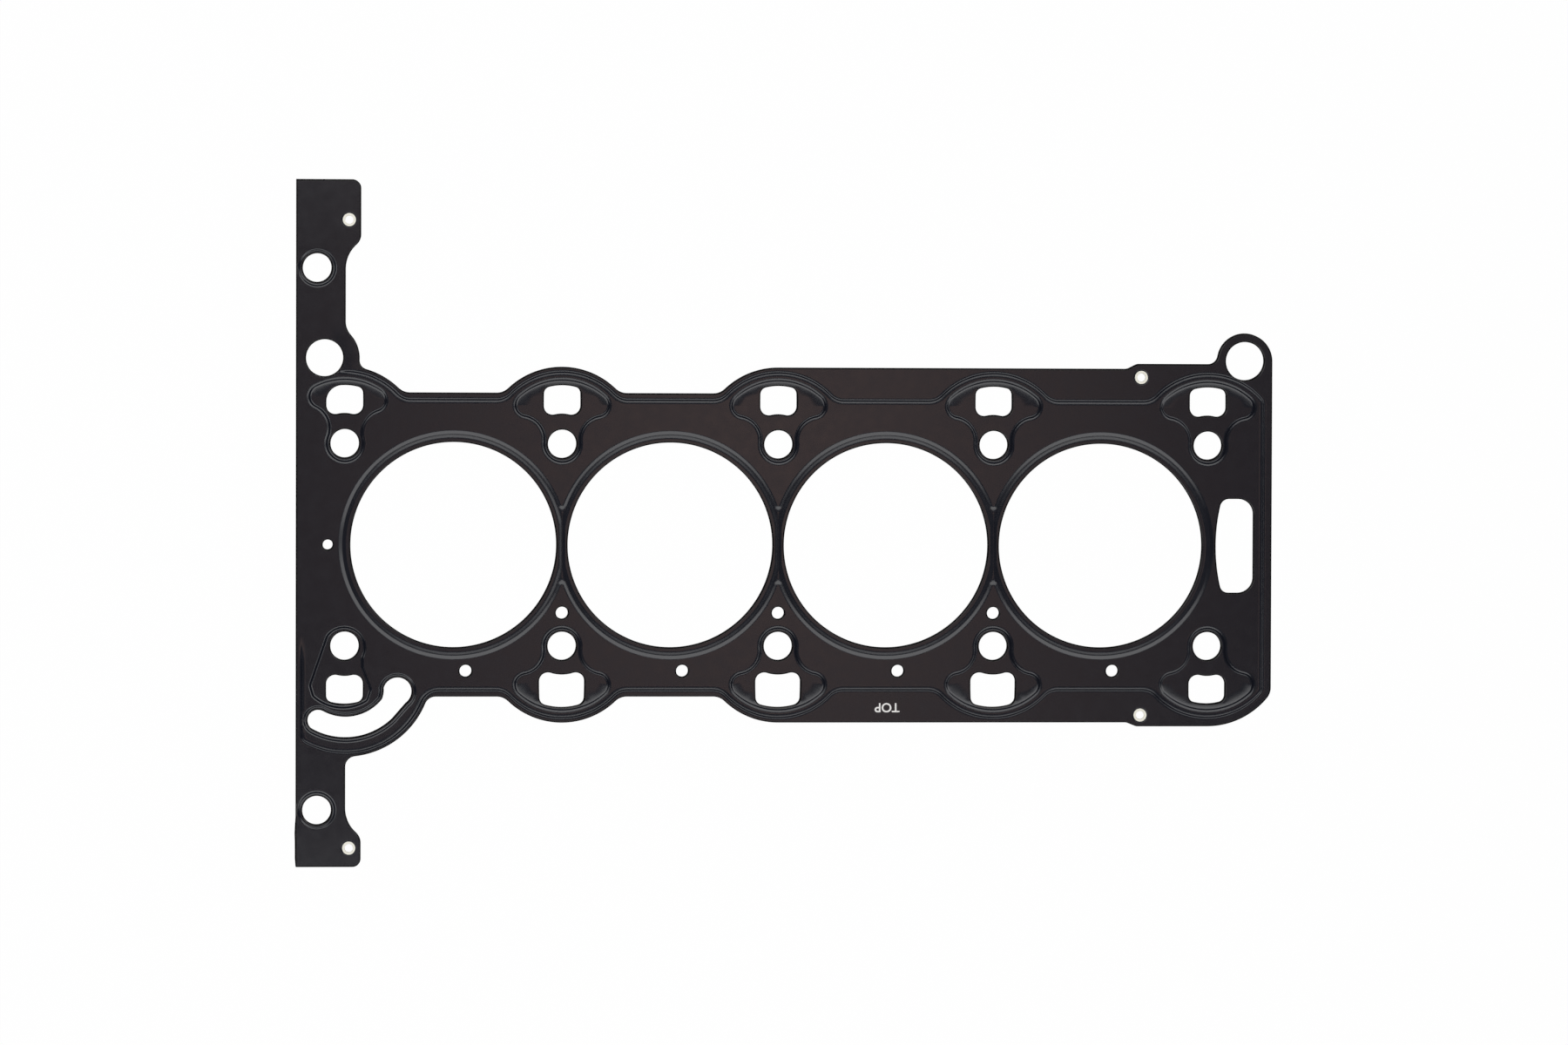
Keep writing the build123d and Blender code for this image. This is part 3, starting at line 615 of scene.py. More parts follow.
@dataclass(frozen=True)
class Body:
    """The outer edge of every sheet and the half bead that runs inside it."""

    left_x: float = -56.40
    right_x: float = 296.42
    top_y: float = 131.05
    bottom_y: float = -116.00
    flat_y: float = 54.65
    lobe_y: float = 36.10
    lobe_radius: float = 27.95
    lobe_fillet: float = 6.0
    neck_x: float = -38.75
    bar_corner: float = 3.0
    bar_heel: float = 5.0
    upper_bar_x: float = -33.25
    upper_cove_y: float = 99.10
    upper_cove_radius: float = 11.75
    lower_bar_x: float = -33.20
    lower_cove_y: float = -94.80
    lower_cove_radius: float = 11.90
    ear: tuple[float, float] = (-46.24, 67.07)
    ear_radius: float = 12.50
    ear_neck_fillet: float = 7.3
    ear_lobe_fillet: float = 3.5
    ear_lobe_corner: tuple[float, float] = (-32.80, 63.60)
    chain: tuple[float, float] = (-38.70, -45.30)
    chain_radius: float = 31.0
    chain_neck_fillet: float = 3.9
    chain_flat_fillet: float = 4.0
    step_start_x: float = 243.60
    step_end_x: float = 247.20
    upper_step_y: float = 65.87
    lower_step_y: float = -65.50
    step_fillet: float = 3.0
    dowel: tuple[float, float] = (286.45, 67.09)
    dowel_radius: float = 9.97
    dowel_fillet: float = 3.5
    corner_x: float = 273.15
    corner_radius: float = 28.50
    corner_fillet: float = 6.0
    field_radius: float = 25.85
    field_flat_y: float = 52.20
    field_left_x: float = -54.40
    field_right_x: float = 293.20
    field_crescent_radius: float = 29.45
    field_fillet: float = 7.0
    field_corner: float = 3.0

    def _lower_edge(self, made: Outline, bolts: BoltRows) -> None:
        """Draws the outer edge from the lower bar to the last corner."""
        neck, cove = self.neck_x, self.lower_cove_radius
        cove_x = neck + cove
        heel = self.lower_cove_y - math.sqrt(cove**2 - (cove_x - self.lower_bar_x) ** 2)
        bar_right, bottom = self.lower_bar_x, self.bottom_y
        made.add(Straight((self.left_x, bottom), (bar_right, bottom)), (bar_right, bottom), self.bar_corner)
        made.add(Straight((bar_right, bottom), (bar_right, heel)), (bar_right, heel), self.bar_heel)
        made.add(Round((cove_x, self.lower_cove_y), cove, -1), (neck, self.lower_cove_y))
        chain_low = self.chain[1] - self.chain_radius
        made.add(
            Straight((neck, self.lower_cove_y), (neck, chain_low)),
            (neck, chain_low),
            self.chain_neck_fillet,
        )
        low, flat, lobe_y = -self.flat_y, -self.flat_y, -self.lobe_y
        reach = math.sqrt(self.chain_radius**2 - (low - self.chain[1]) ** 2)
        chain_right = (self.chain[0] + reach, low)
        made.add(Round(self.chain, self.chain_radius), chain_right, self.chain_flat_fillet)
        half = math.sqrt(self.lobe_radius**2 - (self.flat_y - self.lobe_y) ** 2)
        _, second, third = bolts.places[:3]
        flat_run = Straight((self.left_x, flat), (self.right_x, flat))
        made.add(flat_run, (second - half, flat), self.lobe_fillet)
        made.add(Round((second, lobe_y), self.lobe_radius), (second + half, flat), self.lobe_fillet)
        made.add(flat_run, (third - half, flat), self.lobe_fillet)
        edge = lobe_y - self.lobe_radius
        made.add(Round((third, lobe_y), self.lobe_radius), (third, edge))
        first_step, last_step = (self.step_start_x, edge), (self.step_end_x, self.lower_step_y)
        made.add(Straight((third, edge), first_step), first_step, self.step_fillet)
        made.add(Straight(first_step, last_step), last_step, self.step_fillet)
        corner_foot = (self.corner_x, self.lower_step_y)
        made.add(Straight(last_step, corner_foot), corner_foot)
        corner_y = self.lower_step_y + self.corner_radius
        reach = math.sqrt(self.corner_radius**2 - (self.right_x - self.corner_x) ** 2)
        arc = Round((self.corner_x, corner_y), self.corner_radius)
        made.add(arc, (self.right_x, corner_y - reach), self.corner_fillet)

    def _upper_edge(self, made: Outline, bolts: BoltRows) -> None:
        """Draws the outer edge from the last corner to the upper bar and down its back."""
        dowel_x, dowel_y = self.dowel
        right_foot = (self.right_x, dowel_y)
        made.add(Straight((self.right_x, 0.0), right_foot), right_foot)
        left_foot = (dowel_x - self.dowel_radius, self.upper_step_y)
        made.add(Round(self.dowel, self.dowel_radius), left_foot, self.dowel_fillet)
        edge = self.lobe_y + self.lobe_radius
        first_step, last_step = (self.step_end_x, self.upper_step_y), (self.step_start_x, edge)
        made.add(Straight(left_foot, first_step), first_step, self.step_fillet)
        made.add(Straight(first_step, last_step), last_step, self.step_fillet)
        half = math.sqrt(self.lobe_radius**2 - (self.flat_y - self.lobe_y) ** 2)
        first, second, third = bolts.places[:3]
        made.add(Straight(last_step, (third, edge)), (third, edge))
        flat = self.flat_y
        flat_run = Straight((self.right_x, flat), (self.left_x, flat))
        made.add(Round((third, self.lobe_y), self.lobe_radius), (third - half, flat), self.lobe_fillet)
        made.add(flat_run, (second + half, flat), self.lobe_fillet)
        made.add(Round((second, self.lobe_y), self.lobe_radius), (second - half, flat), self.lobe_fillet)
        made.add(flat_run, (first + half, flat), self.lobe_fillet)
        made.add(
            Round((first, self.lobe_y), self.lobe_radius),
            self.ear_lobe_corner,
            self.ear_lobe_fillet,
        )
        rise = math.sqrt(self.ear_radius**2 - (self.neck_x - self.ear[0]) ** 2)
        ear_top = (self.neck_x, self.ear[1] + rise)
        made.add(Round(self.ear, self.ear_radius), ear_top, self.ear_neck_fillet)
        neck, cove = self.neck_x, self.upper_cove_radius
        cove_x = neck + cove
        made.add(Straight(ear_top, (neck, self.upper_cove_y)), (neck, self.upper_cove_y))
        heel = self.upper_cove_y + math.sqrt(cove**2 - (cove_x - self.upper_bar_x) ** 2)
        bar_right, top = self.upper_bar_x, self.top_y
        made.add(Round((cove_x, self.upper_cove_y), cove, -1), (bar_right, heel), self.bar_heel)
        made.add(Straight((bar_right, heel), (bar_right, top)), (bar_right, top), self.bar_corner)
        made.add(Straight((bar_right, top), (self.left_x, top)), (self.left_x, top))
        made.add(Straight((self.left_x, top), (self.left_x, self.bottom_y)), (self.left_x, self.bottom_y))

    def edge(self, bolts: BoltRows) -> Outline:
        """The outer edge shared by the sheets."""
        made = Outline()
        self._lower_edge(made, bolts)
        self._upper_edge(made, bolts)
        return made

    def low_field(self, bolts: BoltRows, crescent: Crescent) -> Outline:
        """The middle of the flank of the perimeter half bead.

        Args:
            bolts: The bolt rows that the half bead goes round.
            crescent: The crescent slot that it goes round.

        Returns:
            The outline of the low field.
        """
        radius, flat, row = self.field_radius, self.field_flat_y, bolts.row_y
        half = math.sqrt(radius**2 - (flat - row) ** 2)
        left, right = self.field_left_x, self.field_right_x
        first, last = bolts.places[0], bolts.places[-1]
        corner_y = row + math.sqrt(radius**2 - (right - last) ** 2)
        upper_left_y = row + math.sqrt(radius**2 - (left - first) ** 2)
        around = self.field_crescent_radius
        lower_left_y = crescent.y - math.sqrt(around**2 - (left - crescent.x) ** 2)
        crescent_right = crescent.x + math.sqrt(around**2 - (flat + crescent.y) ** 2)
        low = Straight((left, -flat), (right, -flat))
        made = Outline()
        made.add(Round((crescent.x, crescent.y), around), (crescent_right, -flat), self.field_fillet)
        for x in bolts.places[1:]:
            made.add(low, (x - half, -flat), self.field_fillet)
            if x != last:
                made.add(Round((x, -row), radius), (x + half, -flat), self.field_fillet)
        made.add(Round((last, -row), radius), (right, -corner_y), self.field_corner)
        made.add(Straight((right, -corner_y), (right, corner_y)), (right, corner_y), self.field_corner)
        high = Straight((right, flat), (left, flat))
        for x in bolts.places[:0:-1]:
            made.add(Round((x, row), radius), (x - half, flat), self.field_fillet)
            made.add(high, (x - bolts.pitch + half, flat), self.field_fillet)
        made.add(Round((first, row), radius), (left, upper_left_y), self.field_corner)
        left_run = Straight((left, upper_left_y), (left, lower_left_y))
        made.add(left_run, (left, lower_left_y), self.field_corner)
        return made


@dataclass(frozen=True)
class SmallHoles:
    """Plain round holes, as centre and radius."""

    bar_x: float = -48.93
    upper_bar_y: float = 99.40
    lower_bar_y: float = -95.57
    bar_radius: float = 5.20
    bar_pool: float = 6.45
    ear: tuple[float, float] = Body.ear
    ear_radius: float = 6.70
    dowel: tuple[float, float] = Body.dowel
    dowel_radius: float = 6.98
    feed_x: float = -45.07
    feed_radius: float = 1.84
    vent_y: float = -24.45
    vent_radius: float = 2.22
    bleed_dx: float = 4.40
    bleed_y: float = -45.40
    bleed_radius: float = 2.20

    def holes(self, bores: BoreRow, bolts: BoltRows) -> list[Outline]:
        """Every plain hole of the sheets.

        Args:
            bores: The bores that the bleed holes sit beside.
            bolts: The bolts that the vent holes sit beside.

        Returns:
            The outlines of the holes.
        """
        made = [
            circle(self.bar_x, self.upper_bar_y, self.bar_radius),
            circle(self.bar_x, self.lower_bar_y, self.bar_radius),
            circle(*self.ear, self.ear_radius),
            circle(*self.dowel, self.dowel_radius),
            circle(self.feed_x, 0.0, self.feed_radius),
        ]
        made += [circle(x, self.vent_y, self.vent_radius) for x in bolts.places[1:4]]
        made += [circle(x + self.bleed_dx, self.bleed_y, self.bleed_radius) for x in bores.places]
        return made

    def bar_pools(self) -> list[Outline]:
        """The low rims round the holes of the end bars."""
        heights = (self.upper_bar_y, self.lower_bar_y)
        return [circle(self.bar_x, y, self.bar_pool) for y in heights]


@dataclass(frozen=True)
class Eyelets:
    """The hollow eyelets that hold the sheets together."""

    places: tuple[tuple[float, float], ...] = (
        (-37.50, 116.70),
        (-37.45, -109.20),
        (248.65, 61.10),
        (248.65, -61.40),
    )
    bore: float = 1.50
    tube: float = 1.85
    flange: float = 2.36
    flange_thickness: float = 0.15
    clearance: float = 0.05
    seat: float = 2.64
    seat_half: float = 0.24

    def seats(self) -> list[Outline]:
        """The middles of the flanks of the dimples that the eyelets sit in."""
        return [circle(x, y, self.seat) for x, y in self.places]


@dataclass(frozen=True)
class Plan:
    """The whole plan of the gasket, seen from above."""

    stack: Stack = Stack()
    bores: BoreRow = BoreRow()
    bolts: BoltRows = BoltRows()
    body: Body = Body()
    crescent: Crescent = Crescent()
    end_slot: EndSlot = EndSlot()
    small: SmallHoles = SmallHoles()
    eyelets: Eyelets = Eyelets()
    zone: Zone = Zone()
    end_zone: Zone = Zone(left_reach=12.67, right_reach=14.70)
    port: Port = Port(
        inner_y=10.80,
        inner_corner=(6.45, 8.66),
        side=(6.65, 14.80),
        outer_corner=(6.55, 20.00),
        outer_y=21.14,
        inner_fillet=3.3,
        outer_fillet=2.6,
        left_fillet=2.6,
    )
    end_port: Port = replace(port, outer_corner=(6.55, 19.81), outer_y=20.95)
    cut_port: Port = replace(end_port, left_fillet=5.8)
    wide_port: Port = Port(
        inner_y=10.30,
        inner_corner=(8.05, 7.60),
        side=(8.15, 15.50),
        outer_corner=(7.95, 20.70),
        outer_y=22.17,
        inner_fillet=3.2,
        outer_fillet=3.0,
        left_fillet=3.0,
    )

    def ports(self) -> list[Outline]:
        """Every coolant port above and below the bore row."""
        row, places = self.bolts.row_y, self.bolts.places
        upper = [self.cut_port] + [self.port] * 4
        lower = [self.end_port] + [self.wide_port] * 3 + [self.end_port]
        made = [moved(kind.outline(), x, row) for kind, x in zip(upper, places)]
        made += [moved(mirrored(kind.outline()), x, -row) for kind, x in zip(lower, places)]
        return made

    def zones(self) -> list[Outline]:
        """The middles of the flanks of the raised zones, apart from the one by the crescent."""
        row, (first, *others) = self.bolts.row_y, self.bolts.places
        usual = self.zone.outline()
        made = [moved(self.end_zone.outline(), first, row)]
        made += [moved(usual, x, row) for x in others]
        made += [moved(mirrored(usual), x, -row) for x in others]
        return made

    def openings(self) -> list[Outline]:
        """Every opening that runs through the three sheets, apart from the eyelet holes."""
        made = self.bores.holes() + self.bolts.holes() + self.ports()
        made += [self.crescent.slot(), self.end_slot.outline()]
        return made + self.small.holes(self.bores, self.bolts)

    def eyelet_holes(self) -> list[Outline]:
        """The holes that the eyelets pass through."""
        radius = self.eyelets.tube + self.eyelets.clearance
        return [circle(x, y, radius) for x, y in self.eyelets.places]

    def edge(self) -> Outline:
        """The outer edge."""
        return self.body.edge(self.bolts)


# ---------------------------------------------------------------- pressed forms
class Side(Enum):
    """Which side of a flank is the high one."""

    RAISED_INSIDE = -1
    RAISED_OUTSIDE = 1


class Ground(Enum):
    """Which stretch of the pressing a flank bounds."""

    FIELD = 0
    LAND = 1
    ZONE = 2


@dataclass(frozen=True)
class Flank:
    """A flank of the pressing: the outline of its middle, moved outward by a distance.

    It rises gently at its foot and its shoulder and steeply over a narrow crease between.
    """

    middle: Callable[[float], Ring]
    side: Side
    inner: float
    outer: float
    crease: float = 0.40
    crease_share: float = 0.37
    relief: float = 3.1
    ridge: bool = False
    ridge_turn: float = 0.55
    ground: Ground = Ground.FIELD

    def places(self) -> tuple[float, ...]:
        """Where its rings of points run, outward from its middle."""
        near, far, narrow = self.inner, self.outer, self.crease
        core = 0.4 * narrow
        inward = (-near, -(near + narrow) / 2, -narrow, -core)
        return inward + (core, narrow, (far + narrow) / 2, far)

    def _turns(self) -> tuple[float, float]:
        """How far the inner and the outer side turn level, less at the crest of a ridge."""
        crest = self.ridge_turn if self.ridge else 1.0
        return (crest, 1.0) if self.side is Side.RAISED_INSIDE else (1.0, crest)

    def level(self, place: float) -> tuple[float, float]:
        """Height and slope at a distance outward from the middle.

        Args:
            place: The distance, in millimetres.

        Returns:
            The height as a share of the bead, and its rise per millimetre outward as the
            finish shows it: relief times the true one, so that a narrow step reads clearly.
        """
        turn_in, turn_out = self._turns()
        rise_in = self.inner * math.sin(math.pi / 2 * turn_in) / turn_in
        rise_out = self.outer * math.sin(math.pi / 2 * turn_out) / turn_out
        span = rise_in + rise_out
        half, turn = (self.outer, turn_out) if place > 0 else (self.inner, turn_in)
        wide_turn = math.pi / 2 * turn * place / half
        narrow = min(max(place / self.crease, -1.0), 1.0)
        wide = (rise_in + half * math.sin(wide_turn) / turn) / span
        tight = 0.5 + 0.5 * (narrow + math.sin(math.pi * narrow) / math.pi)
        share = self.crease_share
        height = (1 - share) * wide + share * tight
        slope = (1 - share) * math.pi / 2 * math.cos(wide_turn) / span
        slope += share * 0.5 * (1 + math.cos(math.pi * narrow)) / self.crease
        slope *= self.relief
        if self.side is Side.RAISED_INSIDE:
            return 1 - height, -slope
        return height, slope


@dataclass
class Points:
    """Points of a sheet in plan, with what each needs to get its height and normal."""

    xy: list = field(default_factory=list)
    level: list = field(default_factory=list)
    slope: list = field(default_factory=list)
    out: list = field(default_factory=list)
    tuck: list = field(default_factory=list)
    lean: list = field(default_factory=list)
    known: list = field(default_factory=list)
    ground: list = field(default_factory=list)
    edges: list = field(default_factory=list)
    count: int = 0

    def add(
        self,
        xy: np.ndarray,
        out: np.ndarray,
        level: float | None = None,
        slope: float = 0.0,
        tuck: float = 1.0,
        lean: float = 0.0,
        ground: Ground = Ground.FIELD,
        closed: bool = True,
    ) -> range:
        """Adds a ring or a scatter of points.

        Args:
            xy: The points.
            out: A unit direction at each.
            level: Height as a share of the bead height, or None where it is still open.
            slope: Rise of that share along the direction, per millimetre.
            tuck: 1 on the open face and 0 at the very edge of the sheet.
            lean: How far the face leans outward at a punched edge, in degrees.
            ground: The stretch of the pressing that it belongs to.
            closed: True for a ring, False for loose points.

        Returns:
            The numbers of the new points.
        """
        size = len(xy)
        numbers = range(self.count, self.count + size)
        self.xy.append(xy)
        self.out.append(out)
        self.level.append(np.full(size, 0.0 if level is None else level))
        self.slope.append(np.full(size, slope))
        self.tuck.append(np.full(size, tuck))
        self.lean.append(np.full(size, lean))
        self.known.append(np.full(size, level is not None))
        self.ground.append(np.full(size, ground.value))
        if closed:
            self.edges.extend((numbers[k - 1], numbers[k]) for k in range(size))
        self.count += size
        return numbers


def smooth_step(share: np.ndarray) -> np.ndarray:
    """An eased ramp from 0 to 1."""
    share = np.clip(share, 0.0, 1.0)
    return share * share * (3 - 2 * share)


@dataclass(frozen=True)
class Sink:
    """How the raised land outside the low field sinks toward the left end of the sheet."""

    left_x: float = -45.0
    left_fade: float = 9.0
    top_y: float = 62.0
    top_fade: float = 22.0
    bottom_y: float = -34.0
    bottom_fade: float = 10.0

    def kept(self, x: np.ndarray, y: np.ndarray) -> np.ndarray:
        """How much of its height the land keeps.

        Args:
            x: X of each point.
            y: Y of each point.

        Returns:
            1 over most of the sheet, sinking to 0 along the left edge between the bars.
        """
        across = smooth_step((x - self.left_x) / self.left_fade)
        above = smooth_step((y - self.top_y) / self.top_fade)
        below = smooth_step((self.bottom_y - y) / self.bottom_fade)
        return 1 - (1 - across) * (1 - above) * (1 - below)


@dataclass(frozen=True)
class Dome:
    """How a raised zone sinks outside its port, by its distance from the bolt.

    The finish shows the slope relief times as steep as it is, as it does on a flank.
    """

    pitch: float = BoltRows.pitch
    row_y: float = BoltRows.row_y
    start: float = 21.05
    width: float = 2.0
    share: float = 0.35
    clear: float = 9.0
    fade: float = 5.0
    relief: float = 2.2

    def kept(self, x: np.ndarray, y: np.ndarray) -> np.ndarray:
        """How much of its height the zone keeps.

        Args:
            x: X of each point.
            y: Y of each point.

        Returns:
            1 over most of the zone, a little less outside its port.
        """
        across = x % self.pitch - self.pitch / 2
        outward = np.abs(y) - self.row_y
        far = smooth_step((np.hypot(across, outward) - self.start) / self.width)
        outside = smooth_step((outward - self.clear) / self.fade)
        return 1 - self.share * far * outside


@dataclass(frozen=True)
class Fray:
    """A stretch of the left edge that was sheared ragged.

    Its teeth are a few waves laid over each other, each as height, turn per millimetre
    and starting turn.
    """

    edge_x: float = Body.left_x
    reach: float = 1.2
    top_y: float = -98.0
    top_fade: float = 2.0
    bottom_y: float = -115.2
    bottom_fade: float = 1.5
    depth: float = 0.34
    middle: float = 0.5
    waves: tuple[tuple[float, float, float], ...] = (
        (0.30, 2.1, 0.0),
        (0.25, 4.7, 1.0),
        (0.20, 9.3, 2.0),
    )

    def shift(self, x: np.ndarray, y: np.ndarray) -> np.ndarray:
        """How far each point is pushed outward.

        Args:
            x: X of each point.
            y: Y of each point.

        Returns:
            Millimetres toward the left, 0 away from the ragged stretch.
        """
        near = np.clip(1 - (x - self.edge_x) / self.reach, 0.0, 1.0)
        under = smooth_step((self.top_y - y) / self.top_fade)
        over = smooth_step((y - self.bottom_y) / self.bottom_fade)
        teeth = np.full(len(y), self.middle)
        for height, turn, start in self.waves:
            teeth += height * np.sin(turn * y + start)
        return self.depth * near * (under * over) * np.clip(teeth, 0.0, 1.0)


@dataclass(frozen=True)
class EdgeRoll:
    """How a punched edge rolls over, in millimetres.

    Each ring is a share of the width in from the edge and the lean of the face there,
    in degrees from flat. The first ring is the edge itself and the last the open face.
    """

    width: float = 0.46
    depth: float = 0.13
    burr: float = 0.03
    rings: tuple[tuple[float, float], ...] = ((0.0, 44.0), (0.35, 34.0), (0.88, 23.0), (1.0, 0.0))


class Sheet:
    """One punched sheet, pressed or flat, as a closed mesh."""

    def __init__(
        self,
        name: str,
        node: str,
        slot: str,
        edge: Outline,
        holes: list[Outline],
        flanks: list[Flank],
        base: float,
        thickness: float,
        bead: float,
        roll: EdgeRoll,
        spacing: float,
        turned: bool = False,
        drift: tuple[float, float] = (0.0, 0.0),
    ) -> None:
        """Notes what the sheet is cut and pressed to.

        Args:
            name: Name of the finished piece.
            node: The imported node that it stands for.
            slot: The material slot that it takes its finish from.
            edge: The outer edge.
            holes: The punched openings.
            flanks: The flanks of the pressing, empty for a flat sheet.
            base: Height of the upper face where it is low.
            thickness: Thickness of the sheet.
            bead: Rise from low to raised ground.
            roll: Shape of the punched edges.
            spacing: Distance between the points scattered over open ground.
            turned: True for a sheet that lies upper face down.
            drift: How far the sheet lies out of register, in plan.
        """
        self.name, self.node, self.slot = name, node, slot
        self.edge, self.holes, self.flanks = edge, holes, flanks
        self.base, self.thickness, self.bead = base, thickness, bead
        self.roll, self.spacing, self.turned = roll, spacing, turned
        self.sink, self.dome, self.fray = Sink(), Dome(), Fray()
        self.drift = np.array(drift)
        self.points = Points()
        self.boundaries: list[range] = []

    def _roll_rings(self, outline: Outline, inward: float) -> None:
        """Adds the rings of one punched edge, from the edge onto the open face."""
        for share, lean in self.roll.rings:
            ring = outline.ring(inward * self.roll.width * share)
            out = ring.normals * -inward
            numbers = self.points.add(ring.points, out, tuck=share, lean=lean)
            if share == 0.0:
                self.boundaries.append(numbers)

    def _flank_rings(self, flank: Flank) -> range:
        """Adds the rings of one flank and gives the numbers of its outermost one."""
        for place in flank.places():
            ring = flank.middle(place)
            level, slope = flank.level(place)
            numbers = self.points.add(
                ring.points, ring.normals, level, slope, ground=flank.ground
            )
        return numbers

    def _scatter(self) -> None:
        """Adds points over the open ground, clear of every ring."""
        if self.spacing <= 0:
            return
        taken = np.concatenate(self.points.xy)
        low, high = taken.min(axis=0), taken.max(axis=0)
        rows = np.arange(low[1], high[1], self.spacing * math.sqrt(3) / 2)
        columns = np.arange(low[0], high[0], self.spacing)
        x, y = np.meshgrid(columns, rows)
        x[1::2] += self.spacing / 2
        grid = np.stack([x.ravel(), y.ravel()], axis=1)
        tree = KDTree(len(taken))
        for index, (x, y) in enumerate(taken.tolist()):
            tree.insert((x, y, 0.0), index)
        tree.balance()
        room = CLEAR_SHARE * self.spacing
        clear = [tree.find((x, y, 0.0))[2] > room for x, y in grid.tolist()]
        free = grid[np.array(clear)]
        self.points.add(free, np.tile([1.0, 0.0], (len(free), 1)), closed=False)

    def _kept(self, x: np.ndarray, y: np.ndarray, ground: np.ndarray) -> np.ndarray:
        """How much of its height raised ground keeps, wherever it is.

        Args:
            x: X of each point.
            y: Y of each point.
            ground: Which stretch of the pressing each point belongs to.

        Returns:
            A share from 0 to 1 for each point.
        """
        kept = np.where(ground == Ground.LAND.value, self.sink.kept(x, y), 1.0)
        return np.where(ground == Ground.ZONE.value, self.dome.kept(x, y), kept)

    def build(self) -> bpy.types.Object:
        """Makes the mesh object."""
        self._roll_rings(self.edge, -1.0)
        for hole in self.holes:
            self._roll_rings(hole, 1.0)
        inside = [self._flank_rings(flank) for flank in self.flanks]
        self._scatter()
        points = self.points
        xy = np.concatenate(points.xy)
        faces = [list(numbers) for numbers in self.boundaries + inside]
        made = delaunay_2d_cdt(
            [Vector(p) for p in xy.tolist()], points.edges, faces, 0, SAME_POINT
        )
        new_xy, _, triangles, sources, _, owners = made
        origin = np.array([source[0] if source else -1 for source in sources])
        new_xy = np.array([tuple(p) for p in new_xy])
        lost = np.flatnonzero(origin < 0)
        for index in lost:
            origin[index] = ((xy - new_xy[index]) ** 2).sum(axis=1).argmin()
        outer, holes = 0, len(self.boundaries)
        kept = []
        forms = np.zeros(len(new_xy), int)
        for triangle, owner in zip(triangles, owners):
            owner = set(owner)
            if outer not in owner or any(0 < one < holes for one in owner):
                continue
            kept.append(triangle)
            inside_forms = sum(one >= holes for one in owner)
            for corner in triangle:
                forms[corner] = inside_forms
        counts = (len(new_xy), len(kept), len(lost))
        LOG.info("%s: %d points, %d triangles, %d crossings", self.name, *counts)
        return self._mesh(new_xy, origin, np.array(kept), forms)

    def _mesh(
        self, xy: np.ndarray, origin: np.ndarray, triangles: np.ndarray, forms: np.ndarray
    ) -> bpy.types.Object:
        """Gives the triangulated plan its heights, thickness and normals.

        Args:
            xy: The points of the triangulation.
            origin: For each, the number of the point it came from.
            triangles: Three point numbers a row.
            forms: For each point, how many pressed forms it lies in.

        Returns:
            The mesh object.
        """
        p = self.points
        level = np.concatenate(p.level)[origin]
        slope = np.concatenate(p.slope)[origin]
        out = np.concatenate(p.out)[origin]
        tuck = np.concatenate(p.tuck)[origin]
        known = np.concatenate(p.known)[origin]
        ground = np.concatenate(p.ground)[origin]
        raised = 1.0 - forms % 2 if self.flanks else np.zeros(len(xy))
        level = np.where(known, level, raised)
        ground = np.where(~known & (forms == 0), Ground.LAND.value, ground)
        ground = np.where(~known & (forms == 2), Ground.ZONE.value, ground)
        x, y = xy.T
        keep = self._kept(x, y, ground)
        tilt_x = self._kept(x + NUDGE, y, ground) - self._kept(x - NUDGE, y, ground)
        tilt_y = self._kept(x, y + NUDGE, ground) - self._kept(x, y - NUDGE, ground)
        crisp = np.where(ground == Ground.ZONE.value, self.dome.relief, 1.0)
        tilt = np.stack([tilt_x, tilt_y], axis=1) * (crisp * level / (2 * NUDGE))[:, None]
        gradient = self.bead * (out * (slope * keep)[:, None] + tilt)
        drop = self.roll.depth * (1 - tuck) ** 2
        top = self.base + self.bead * level * keep - drop
        flat = np.concatenate([-gradient, np.ones((len(xy), 1))], axis=1)
        flat /= np.linalg.norm(flat, axis=1)[:, None]
        lean = np.radians(np.concatenate(p.lean)[origin])[:, None]
        rolled = np.concatenate([out * np.sin(lean), np.cos(lean)], axis=1)
        upper_normal = np.where((tuck < 1)[:, None], rolled, flat)
        edge = tuck <= 0
        bottom = self.base + self.bead * level * keep - self.thickness + self.roll.burr * edge
        sideways = np.concatenate([out, np.zeros((len(xy), 1))], axis=1)
        lower_normal = np.where(edge[:, None], sideways, -flat)
        size = len(xy)
        if self.flanks:
            xy = np.column_stack([x - self.fray.shift(x, y), y]) + self.drift
        places = np.concatenate([np.column_stack([xy, top]), np.column_stack([xy, bottom])])
        normals = np.concatenate([upper_normal, lower_normal])
        walls = self._walls(origin, edge, size)
        under = triangles[:, ::-1] + size
        faces = triangles.tolist() + under.tolist() + walls
        if self.turned:
            places[:, 2] *= -1
            normals[:, 2] *= -1
            faces = [face[::-1] for face in faces]
        mesh = bpy.data.meshes.new(self.name)
        mesh.from_pydata((places * MM).tolist(), [], faces)
        # Faces of the edge roll and the walls take the second finish, the black painted shade of a punched
        # edge.
        rolled_faces = (tuck[triangles].min(axis=1) < 1).astype(np.int32)
        upright = np.ones(len(walls), np.int32)
        slots = np.concatenate([rolled_faces, rolled_faces, upright])
        mesh.polygons.foreach_set("material_index", slots)
        mesh.polygons.foreach_set("use_smooth", np.ones(len(faces), bool))
        mesh.normals_split_custom_set_from_vertices(normals.tolist())
        mesh.update()
        return place_piece(self.name, mesh, self.node, self.slot)

